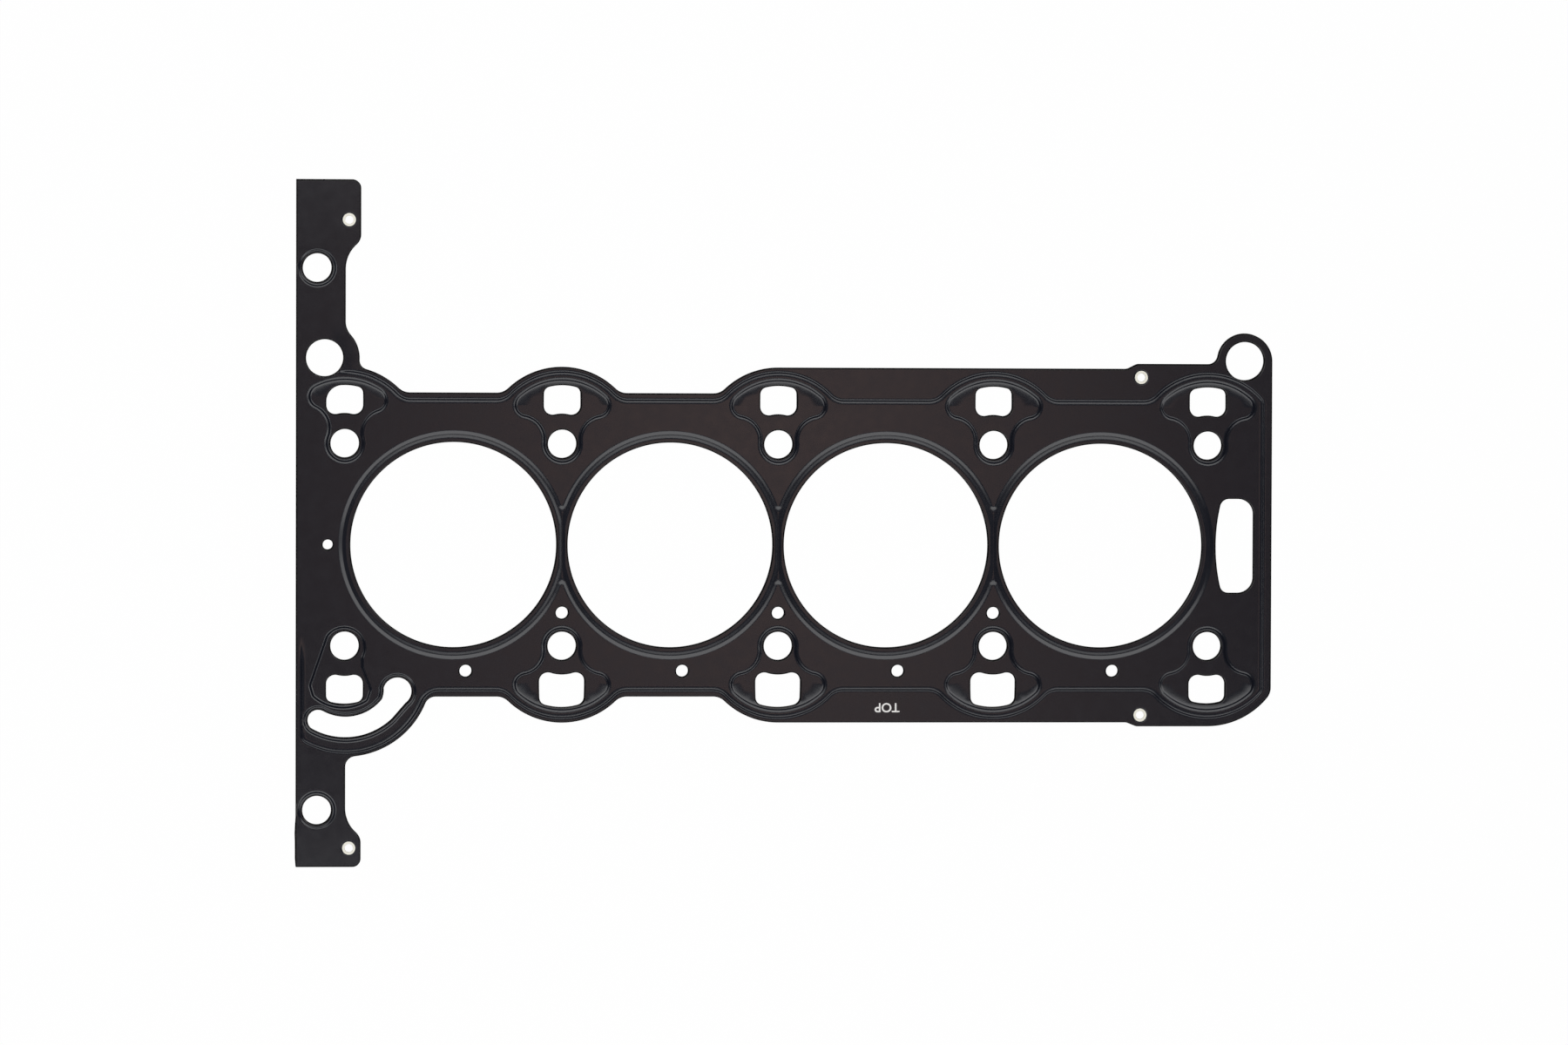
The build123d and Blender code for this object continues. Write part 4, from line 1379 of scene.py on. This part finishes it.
    def _walls(self, origin: np.ndarray, edge: np.ndarray, size: int) -> list[list[int]]:
        """The upright faces between the upper and the under side of each edge."""
        after = {}
        for number, index in zip(origin.tolist(), range(size)):
            after[number] = index
        made = []
        for number, numbers in enumerate(self.boundaries):
            ring = [after[k] for k in numbers if k in after]
            if number == 0:
                pairs = zip(ring, ring[1:] + ring[:1])
            else:
                pairs = zip(ring[1:] + ring[:1], ring)
            made.extend([a, a + size, b + size, b] for a, b in pairs if edge[a] and edge[b])
        return made


def place_piece(
    name: str, mesh: bpy.types.Mesh, node: str | None, slot: str
) -> bpy.types.Object:
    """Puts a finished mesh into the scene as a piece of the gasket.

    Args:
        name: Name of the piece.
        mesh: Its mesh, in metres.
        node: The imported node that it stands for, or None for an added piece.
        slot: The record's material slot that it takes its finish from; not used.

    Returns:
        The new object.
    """
    piece = bpy.data.objects.new(name, mesh)
    bpy.context.scene.collection.objects.link(piece)
    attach(piece, "root")
    if node is not None:
        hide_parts(node)
    return piece


# ---------------------------------------------------------------- finishes
def linear(code: str) -> tuple[float, float, float, float]:
    """Turns an sRGB hex value into linear light.

    Args:
        code: Six hex digits after a hash.

    Returns:
        Red, green, blue and an alpha of 1.
    """
    parts = [int(code[k : k + 2], 16) / 255 for k in (1, 3, 5)]
    r, g, b = (c / 12.92 if c <= 0.04045 else ((c + 0.055) / 1.055) ** 2.4 for c in parts)
    return r, g, b, 1.0


def add_node(
    tree: bpy.types.NodeTree, kind: str, settings: dict, links: dict | None = None
) -> bpy.types.Node:
    """Adds a node with its settings and links.

    Args:
        tree: The node tree to add it to.
        kind: Blender's name for the kind of node.
        settings: Values of its sockets, by name or number, and of its properties.
        links: For a socket, by name or number, the output that feeds it.

    Returns:
        The new node.
    """
    node = tree.nodes.new(kind)
    for name, value in settings.items():
        if isinstance(name, int) or name in node.inputs:
            node.inputs[name].default_value = value
        else:
            setattr(node, name, value)
    for name, output in (links or {}).items():
        tree.links.new(output, node.inputs[name])
    return node


def noise(
    tree: bpy.types.NodeTree,
    place: bpy.types.NodeSocket,
    size_mm: float,
    detail: float,
    roughness: float = 0.5,
) -> bpy.types.NodeSocket:
    """Adds a cloudy pattern.

    Args:
        tree: The node tree to add it to.
        place: Where on the piece it is read.
        size_mm: About how wide one patch of it is.
        detail: How many finer patterns lie over it.
        roughness: How strong the finer ones are.

    Returns:
        Its value, from 0 to 1.
    """
    settings = {"Scale": 1 / (size_mm * MM), "Detail": detail, "Roughness": roughness}
    return add_node(tree, "ShaderNodeTexNoise", settings, {"Vector": place}).outputs["Fac"]


def two_tone(
    tree: bpy.types.NodeTree, dark: str, pale: str, share: bpy.types.NodeSocket
) -> bpy.types.NodeSocket:
    """Mixes two sRGB hex colours by a share."""
    settings = {"data_type": "RGBA", 6: linear(dark), 7: linear(pale)}
    return add_node(tree, "ShaderNodeMix", settings, {0: share}).outputs[2]


def relief(
    tree: bpy.types.NodeTree,
    height: bpy.types.NodeSocket,
    depth_mm: float,
    under: bpy.types.NodeSocket | None = None,
) -> bpy.types.NodeSocket:
    """Adds fine relief to the surface.

    Args:
        tree: The node tree to add it to.
        height: The pattern that raises it.
        depth_mm: How high the pattern stands.
        under: Coarser relief that it lies on.

    Returns:
        The direction that the surface faces.
    """
    links = {"Height": height} if under is None else {"Height": height, "Normal": under}
    settings = {"Distance": depth_mm * MM, "Strength": 1.0}
    return add_node(tree, "ShaderNodeBump", settings, links).outputs["Normal"]


def finish(tree: bpy.types.NodeTree, settings: dict, links: dict) -> None:
    """Ends a material with its surface.

    Args:
        tree: The node tree of the material.
        settings: Plain values of the surface.
        links: The outputs that feed its other sockets.
    """
    surface = add_node(tree, "ShaderNodeBsdfPrincipled", settings, links).outputs["BSDF"]
    add_node(tree, "ShaderNodeOutputMaterial", {}, {"Surface": surface})


def new_material(name: str) -> tuple[bpy.types.Material, bpy.types.NodeTree]:
    """An empty node material and its tree."""
    material = bpy.data.materials.new(name)
    material.use_nodes = True
    material.node_tree.nodes.clear()
    return material, material.node_tree


def on_piece(tree: bpy.types.NodeTree) -> bpy.types.NodeSocket:
    """The place on the piece, in metres."""
    return add_node(tree, "ShaderNodeTexCoord", {}).outputs["Object"]


@dataclass(frozen=True)
class ElastomerCoat:
    """Nitrile rubber coat, screen-laid on spring steel and cured.

    A thin satin film: nearly black, softly mirroring what hangs overhead, with a fine
    orange-peel grain and faint thicker and thinner patches.
    """

    dark: str = "#0d0f18"
    pale: str = "#12141d"
    roughness: float = 0.19
    roughness_play: float = 0.015
    ior: float = 1.5
    patch_mm: float = 4.0
    thin_patch: float = 0.3
    thick_patch: float = 0.7
    grain_mm: float = 0.8
    grain_depth_mm: float = 0.0009
    wave_mm: float = 60.0
    wave_depth_mm: float = 0.02

    def material(self) -> bpy.types.Material:
        """Builds the node material."""
        material, tree = new_material("nitrile_coated_spring_steel")
        place = on_piece(tree)
        patch = noise(tree, place, self.patch_mm, 4.0, 0.6)
        rough = add_node(
            tree,
            "ShaderNodeMapRange",
            {
                "From Min": self.thin_patch,
                "From Max": self.thick_patch,
                "To Min": self.roughness - self.roughness_play,
                "To Max": self.roughness + self.roughness_play,
            },
            {"Value": patch},
        )
        slow = relief(tree, noise(tree, place, self.wave_mm, 1.0), self.wave_depth_mm)
        fine = relief(tree, noise(tree, place, self.grain_mm, 2.0), self.grain_depth_mm, slow)
        colour = two_tone(tree, self.dark, self.pale, patch)
        finish(
            tree,
            {"IOR": self.ior},
            {"Base Color": colour, "Roughness": rough.outputs["Result"], "Normal": fine},
        )
        return material


@dataclass(frozen=True)
class StreakedSteel:
    """Rolled or punched steel, bare, or matt and pale where its reflection is painted in.

    A fine streak along the rolling direction; with metallic off, a pale colour stands in for the metal's
    mirror as painted reflection.
    """

    name: str
    dark: str = "#8d8b88"
    pale: str = "#b4b2ae"
    roughness: float = 0.34
    streak_mm: float = 0.25
    streak_length_mm: float = 14.0
    bump_mm: float = 0.002
    metallic: float = 1.0

    def material(self) -> bpy.types.Material:
        """Builds the node material."""
        material, tree = new_material(self.name)
        across = 1 / self.streak_mm
        stretch = add_node(
            tree,
            "ShaderNodeMapping",
            {"Scale": (1 / self.streak_length_mm, across, across)},
            {"Vector": on_piece(tree)},
        )
        streak = noise(tree, stretch.outputs["Vector"], 1.0, 3.0)
        finish(
            tree,
            {"Metallic": self.metallic, "Roughness": self.roughness},
            {
                "Base Color": two_tone(tree, self.dark, self.pale, streak),
                "Normal": relief(tree, streak, self.bump_mm),
            },
        )
        return material


@dataclass(frozen=True)
class MottledFilm:
    """A thin film of even gloss, a little darker and paler in patches."""

    name: str
    dark: str
    pale: str
    patch_mm: float
    detail: float
    roughness: float
    ior: float = 1.45

    def material(self) -> bpy.types.Material:
        """Builds the node material."""
        material, tree = new_material(self.name)
        patch = noise(tree, on_piece(tree), self.patch_mm, self.detail)
        colour = two_tone(tree, self.dark, self.pale, patch)
        finish(tree, {"Roughness": self.roughness, "IOR": self.ior}, {"Base Color": colour})
        return material


# Painted shade over the roll and walls of a punched edge: a thin black outline.
EDGE_PAINTED_SHADE = MottledFilm(
    "punched_edge_painted_shade", "#060506", "#0d0c0d", patch_mm=1.6, detail=2.0, roughness=0.16
)
# Pad-printed ink, white and matt, a little greyer where it took less well.
WHITE_INK = MottledFilm(
    "printed_white_ink", "#f4f2f0", "#dcdad8", patch_mm=0.6, detail=3.0, roughness=0.6
)
# Cold-rolled steel, bare: the grey face of the carrier, seen only through gaps.
CARRIER_FACE = StreakedSteel("cold_rolled_carrier_steel")
# Punched steel, bare: the sheared edge of the carrier, darker than its face as painted shade on the stack's
# edge.
CARRIER_EDGE_PAINTED_SHADE = StreakedSteel("punched_steel_edge_painted_shade", "#2b2928", "#413e3c", roughness=0.5)
# Eyelet steel, matt cream-white with no mirror: its pale tone with its bright reflection painted in.
EYELET_PAINTED_REFLECTION = StreakedSteel(
    "eyelet_steel_painted_reflection",
    "#e9e6d8",
    "#f6f4e8",
    roughness=0.55,
    streak_length_mm=0.6,
    metallic=0.0,
)


# ---------------------------------------------------------------- pieces
@dataclass(frozen=True)
class Pressings:
    """The upper and the lower coated sheet, each pressed with the same forms."""

    plan: Plan
    perimeter_foot: float = 1.45
    perimeter_shoulder: float = 1.05
    zone_shoulder: float = 0.80
    zone_foot: float = 1.20
    rim_half: float = 0.75
    rim_relief: float = 2.0
    seat_crease: float = 0.2
    lower_drift: tuple[float, float] = (-0.16, 0.17)
    inner_relief: float = 1.22
    outer_relief: float = 1.22
    roll: EdgeRoll = EdgeRoll()
    spacing: float = 3.2

    def _flanks(self) -> list[Flank]:
        """Every flank of the pressing, from the perimeter to the bores."""
        plan, rim_half = self.plan, self.rim_half
        bores = plan.bores
        slot, zone_edge = plan.crescent.slot(), plan.crescent.zone()
        perimeter = plan.body.low_field(plan.bolts, plan.crescent)
        made = [
            Flank(
                perimeter.ring,
                Side.RAISED_OUTSIDE,
                self.perimeter_foot,
                self.perimeter_shoulder,
                ground=Ground.LAND,
            ),
            Flank(
                lambda grow: bores.outer_foot(grow).ring(),
                Side.RAISED_INSIDE,
                bores.outer_half,
                bores.outer_half,
                crease_share=0.0,
                relief=self.outer_relief,
                ridge=True,
            ),
            Flank(
                lambda grow: slot.ring(plan.crescent.rim + grow),
                Side.RAISED_INSIDE,
                rim_half,
                rim_half,
                relief=self.rim_relief,
            ),
            Flank(zone_edge.ring, Side.RAISED_INSIDE, self.zone_shoulder, self.zone_shoulder),
        ]
        made += [
            Flank(
                lambda grow, index=index: bores.inner_land(index, grow).ring(),
                Side.RAISED_OUTSIDE,
                bores.inner_half,
                bores.inner_half,
                crease_share=0.0,
                relief=self.inner_relief,
                ridge=True,
            )
            for index in range(bores.count)
        ]
        made += [
            Flank(
                zone.ring,
                Side.RAISED_INSIDE,
                self.zone_shoulder,
                self.zone_foot,
                ground=Ground.ZONE,
            )
            for zone in plan.zones()
        ]
        made += [
            Flank(
                pool.ring,
                Side.RAISED_OUTSIDE,
                rim_half,
                rim_half,
                relief=self.rim_relief,
                ground=Ground.LAND,
            )
            for pool in plan.small.bar_pools()
        ]
        seat_half = plan.eyelets.seat_half
        made += [
            Flank(
                seat.ring,
                Side.RAISED_OUTSIDE,
                seat_half,
                seat_half,
                crease=self.seat_crease,
                crease_share=0.0,
                relief=1.0,
                ground=Ground.LAND,
            )
            for seat in plan.eyelets.seats()
        ]
        return made

    def build(self, coat: bpy.types.Material, bare: bpy.types.Material) -> None:
        """Builds and dresses both sheets.

        Args:
            coat: Finish of the faces.
            bare: Finish of the punched edges, black as painted shade.
        """
        plan, stack = self.plan, self.plan.stack
        holes = plan.openings() + plan.eyelet_holes()
        flanks = self._flanks()
        for name, node, turned, drift in (
            ("upper_sheet", "upper_layer", False, (0.0, 0.0)),
            ("lower_sheet", "lower_layer", True, self.lower_drift),
        ):
            sheet = Sheet(
                name,
                node,
                "coated_sheet",
                plan.edge(),
                holes,
                flanks,
                stack.field_top,
                stack.sheet,
                stack.bead,
                self.roll,
                self.spacing,
                turned,
                drift=drift,
            )
            piece = sheet.build()
            piece.data.materials.append(coat)
            piece.data.materials.append(bare)


@dataclass(frozen=True)
class Carrier:
    """The thick flat sheet in the middle."""

    plan: Plan
    roll: EdgeRoll = EdgeRoll(
        width=0.06, depth=0.06, burr=0.04, rings=((0.0, 60.0), (0.3, 45.0), (1.0, 0.0))
    )

    def build(self, steel: bpy.types.Material, bare: bpy.types.Material) -> None:
        """Builds and dresses the sheet.

        Args:
            steel: Finish of the faces.
            bare: Finish of the punched edges, darkened as painted shade.
        """
        plan, stack = self.plan, self.plan.stack
        sheet = Sheet(
            "carrier_sheet",
            "middle_layer",
            "carrier_sheet",
            plan.edge(),
            plan.openings() + plan.eyelet_holes(),
            [],
            stack.carrier / 2,
            stack.carrier,
            stack.bead,
            self.roll,
            0.0,
        )
        piece = sheet.build()
        piece.data.materials.append(steel)
        piece.data.materials.append(bare)


@dataclass(frozen=True)
class EyeletSet:
    """The four hollow eyelets, each one turned piece flared at both ends."""

    plan: Plan
    segments: int = 72
    lip: float = 0.18
    lip_bearings: tuple[float, ...] = (0, 20, 40, 60, 80, 90)
    nose_bearings: tuple[float, ...] = (90, 60, 30, 0, -30, -60, -90)
    smooth_below: float = 40.0

    def _profile(self) -> list[tuple[float, float]]:
        """Radius and height round the closed section of one eyelet."""
        sizes, stack = self.plan.eyelets, self.plan.stack
        foot = stack.field_top
        top = foot + sizes.flange_thickness
        lip = self.lip
        half = []
        for angle in map(math.radians, self.lip_bearings):
            rise = lip * math.sin(angle)
            half.append((sizes.bore + lip * (1 - math.cos(angle)), top - lip + rise))
        nose = sizes.flange_thickness / 2
        for angle in map(math.radians, self.nose_bearings):
            rise = nose * math.sin(angle)
            half.append((sizes.flange - nose + nose * math.cos(angle), foot + nose + rise))
        half.append((sizes.tube, foot))
        half.append((sizes.tube, 0.0))
        lower = [(radius, -height) for radius, height in half[-2::-1]]
        return half + lower + [(sizes.bore, 0.0)]

    def build(self, plate: bpy.types.Material) -> None:
        """Builds and dresses the set as one piece of four bodies.

        Args:
            plate: Finish of the eyelets.
        """
        profile = self._profile()
        count, sides = len(profile), self.segments
        places, faces = [], []
        for x, y in self.plan.eyelets.places:
            start = len(places)
            for step in range(sides):
                angle = math.tau * step / sides
                cos, sin = math.cos(angle), math.sin(angle)
                places += [((x + r * cos) * MM, (y + r * sin) * MM, z * MM) for r, z in profile]
            for step in range(sides):
                here, there = start + step * count, start + (step + 1) % sides * count
                for k in range(count):
                    n = (k + 1) % count
                    faces.append((here + k, here + n, there + n, there + k))
        mesh = bpy.data.meshes.new("eyelet_set")
        mesh.from_pydata(places, [], faces)
        mesh.polygons.foreach_set("use_smooth", np.ones(len(faces), bool))
        mesh.set_sharp_from_angle(angle=math.radians(self.smooth_below))
        mesh.materials.append(plate)
        place_piece("eyelet_set", mesh, "eyelets", "eyelet_steel")
        LOG.info("eyelet_set: %d faces", len(faces))


@dataclass(frozen=True)
class FaceMark:
    """The printed word that says which face goes up, read from the far side."""

    plan: Plan
    word: str = "TOP"
    centre: tuple[float, float] = (156.6, -58.5)
    letter_height: float = 3.2
    cap_share: float = 0.69
    boldness: float = 0.07
    lift: float = 0.004

    def build(self, ink: bpy.types.Material) -> None:
        """Builds and dresses the print.

        Args:
            ink: Finish of the print.
        """
        curve = bpy.data.curves.new("face_mark_curve", "FONT")
        curve.body = self.word
        curve.size = self.letter_height / self.cap_share * MM
        curve.align_x = "CENTER"
        curve.align_y = "CENTER"
        curve.offset = self.boldness * MM
        curve.extrude = self.lift / 2 * MM
        curve.fill_mode = "BOTH"
        holder = bpy.data.objects.new("face_mark_curve", curve)
        bpy.context.scene.collection.objects.link(holder)
        mesh = bpy.data.meshes.new_from_object(holder)
        bpy.data.objects.remove(holder)
        x, y = self.centre
        for vertex in mesh.vertices:
            px, py, pz = vertex.co
            height = self.plan.stack.crest_top + self.lift / 2
            vertex.co = (x * MM - px, y * MM - py, height * MM + pz)
        mesh.materials.append(ink)
        place_piece("face_mark", mesh, None, "coated_sheet")
        LOG.info("face_mark: %d faces", len(mesh.polygons))


# ---------------------------------------------------------------- studio
@dataclass(frozen=True)
class Softbox:
    """A lamp behind a diffuser that faces straight down.

    Place, level and size are in metres, the light is the radiance at its face.
    """

    name: str
    place: tuple[float, float]
    level: float
    width: float
    depth: float
    radiance: float

    def build(self) -> None:
        """Adds the lamp."""
        lamp = bpy.data.lights.new(self.name, "AREA")
        lamp.shape = "RECTANGLE"
        lamp.size = self.width
        lamp.size_y = self.depth
        lamp.energy = self.radiance * math.pi * self.width * self.depth
        holder = bpy.data.objects.new(self.name, lamp)
        holder.location = (*self.place, self.level)
        holder.visible_camera = False
        bpy.context.scene.collection.objects.link(holder)


def maths(
    tree: bpy.types.NodeTree,
    operation: str,
    first: bpy.types.NodeSocket,
    second: bpy.types.NodeSocket | float,
) -> bpy.types.NodeSocket:
    """Works out one value from two.

    Args:
        tree: The node tree to add it to.
        operation: Blender's name for the sum.
        first: The first value.
        second: The second value, fed by an output or plain.

    Returns:
        The result.
    """
    plain = isinstance(second, float)
    settings = {"operation": operation} | ({1: second} if plain else {})
    links = {0: first} if plain else {0: first, 1: second}
    return add_node(tree, "ShaderNodeMath", settings, links).outputs["Value"]


def eased(
    tree: bpy.types.NodeTree,
    value: bpy.types.NodeSocket,
    span: tuple[float, float],
    levels: tuple[float, float],
) -> bpy.types.NodeSocket:
    """Eases from one level to another as a value crosses a span.

    Args:
        tree: The node tree to add it to.
        value: The value that crosses the span.
        span: Where the change starts and ends.
        levels: The level before and after it.

    Returns:
        The level.
    """
    settings = {
        "interpolation_type": "SMOOTHSTEP",
        "From Min": span[0],
        "From Max": span[1],
        "To Min": levels[0],
        "To Max": levels[1],
    }
    return add_node(tree, "ShaderNodeMapRange", settings, {"Value": value}).outputs["Result"]


@dataclass(frozen=True)
class Studio:
    """A pale floor, soft lamps overhead and the camera.

    The lamps hang in pairs, one in front of the gasket and one behind it. A pair is its
    name, its X, how far each lamp is from the X axis, and each lamp's width and depth.
    """

    plan: Plan
    floor_half: float = 9.0
    floor_colour: str = "#f7f7f7"
    glow_share: float = 0.97
    horizon: float = 0.03
    ceiling: float = 0.06
    zenith: float = 0.08
    horizon_span: tuple[float, float] = (0.08, 0.26)
    zenith_span: tuple[float, float] = (0.90, 0.97)
    patch_colour: str = "#ffd7c6"
    patch_light: float = 2.0
    patch_toward: tuple[float, float, float] = (0.056, -0.005, 0.998)
    patch_span: tuple[float, float] = (0.02, 0.095)
    camera_place: tuple[float, float, float] = (0.01033, 0.04384, 1.81120)
    camera_turn: tuple[float, float, float] = (-1.13382, -3.43261, 0.17365)
    clip: tuple[float, float] = (0.05, 60.0)
    lens: float = 115.366
    lamp_level: float = 0.90
    lamp_radiance: float = 2.7
    lamp_pairs: tuple[tuple[str, float, float, float, float], ...] = (
        ("middle", 0.13, 0.525, 0.74, 0.55),
        ("left", -0.43, 0.40, 0.38, 0.70),
        ("right", 0.67, 0.50, 0.34, 0.56),
    )

    def _floor(self) -> None:
        """Adds the floor that the gasket lies on: white to the eye, plain paper to the light."""
        height = -self.plan.stack.crest_top * MM
        half = self.floor_half
        corners = [(x, y, height) for x, y in ((-half, -half), (half, -half), (half, half), (-half, half))]
        mesh = bpy.data.meshes.new("floor")
        mesh.from_pydata(corners, [], [(0, 1, 2, 3)])
        floor = bpy.data.objects.new("floor", mesh)
        floor.visible_glossy = False
        bpy.context.scene.collection.objects.link(floor)
        material, tree = new_material("white_studio_paper")
        paper = add_node(tree, "ShaderNodeBsdfDiffuse", {"Color": linear(self.floor_colour)})
        glow = add_node(tree, "ShaderNodeEmission", {"Color": (1, 1, 1, 1), "Strength": 1.0})
        ray = add_node(tree, "ShaderNodeLightPath", {}).outputs
        seen = maths(tree, "MAXIMUM", ray["Is Camera Ray"], ray["Is Glossy Ray"])
        seen = maths(tree, "MAXIMUM", seen, ray["Is Transmission Ray"])
        mixed = add_node(
            tree,
            "ShaderNodeMixShader",
            {},
            {
                0: maths(tree, "MULTIPLY", seen, self.glow_share),
                1: paper.outputs["BSDF"],
                2: glow.outputs["Emission"],
            },
        )
        add_node(tree, "ShaderNodeOutputMaterial", {}, {"Surface": mixed.outputs["Shader"]})
        mesh.materials.append(material)

    def _room(self) -> None:
        """Lights the scene with a dim room that has one warm patch overhead."""
        world = bpy.data.worlds.new("studio_room")
        world.use_nodes = True
        tree = world.node_tree
        tree.nodes.clear()
        toward = add_node(tree, "ShaderNodeTexCoord", {}).outputs["Generated"]
        up = add_node(tree, "ShaderNodeSeparateXYZ", {}, {"Vector": toward}).outputs["Z"]
        low = eased(tree, up, self.horizon_span, (self.horizon, self.ceiling))
        high = eased(tree, up, self.zenith_span, (0.0, self.zenith - self.ceiling))
        above = maths(tree, "GREATER_THAN", up, 0.0)
        level = maths(tree, "MULTIPLY", maths(tree, "ADD", low, high), above)
        away = add_node(
            tree,
            "ShaderNodeVectorMath",
            {"operation": "DISTANCE", 1: self.patch_toward},
            {0: toward},
        )
        patch = eased(tree, away.outputs["Value"], self.patch_span, (self.patch_light, 0.0))
        sky = add_node(
            tree, "ShaderNodeBackground", {"Color": (1, 1, 1, 1)}, {"Strength": level}
        )
        warm = add_node(
            tree,
            "ShaderNodeBackground",
            {"Color": linear(self.patch_colour)},
            {"Strength": patch},
        )
        both = add_node(tree, "ShaderNodeAddShader", {}, {0: sky.outputs[0], 1: warm.outputs[0]})
        add_node(tree, "ShaderNodeOutputWorld", {}, {"Surface": both.outputs[0]})
        bpy.context.scene.world = world

    def _lamps(self) -> None:
        """Hangs the lamps."""
        for name, x, away, width, depth in self.lamp_pairs:
            for side, y in (("front", -away), ("back", away)):
                Softbox(
                    f"{name}_{side}", (x, y), self.lamp_level, width, depth, self.lamp_radiance
                ).build()
        LOG.info("studio: %d pairs of lamps", len(self.lamp_pairs))

    def _camera(self) -> None:
        """Adds the camera above the gasket."""
        data = bpy.data.cameras.new("camera")
        data.lens = self.lens
        data.clip_start, data.clip_end = self.clip
        camera = bpy.data.objects.new("camera", data)
        camera.location = self.camera_place
        camera.rotation_euler = Euler([math.radians(a) for a in self.camera_turn], "XYZ")
        bpy.context.scene.collection.objects.link(camera)
        bpy.context.scene.camera = camera

    def build(self) -> None:
        """Builds the whole studio."""
        self._floor()
        self._room()
        self._lamps()
        self._camera()
        bpy.context.scene.view_settings.view_transform = "Standard"


def main() -> None:
    """Builds every piece of the gasket and the studio round it."""
    logging.basicConfig(level=logging.INFO, format="%(name)s %(message)s")
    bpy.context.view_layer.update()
    plan = Plan()
    Pressings(plan).build(ElastomerCoat().material(), EDGE_PAINTED_SHADE.material())
    Carrier(plan).build(CARRIER_FACE.material(), CARRIER_EDGE_PAINTED_SHADE.material())
    EyeletSet(plan).build(EYELET_PAINTED_REFLECTION.material())
    FaceMark(plan).build(WHITE_INK.material())
    Studio(plan).build()


if __name__ == "__main__":
    main()
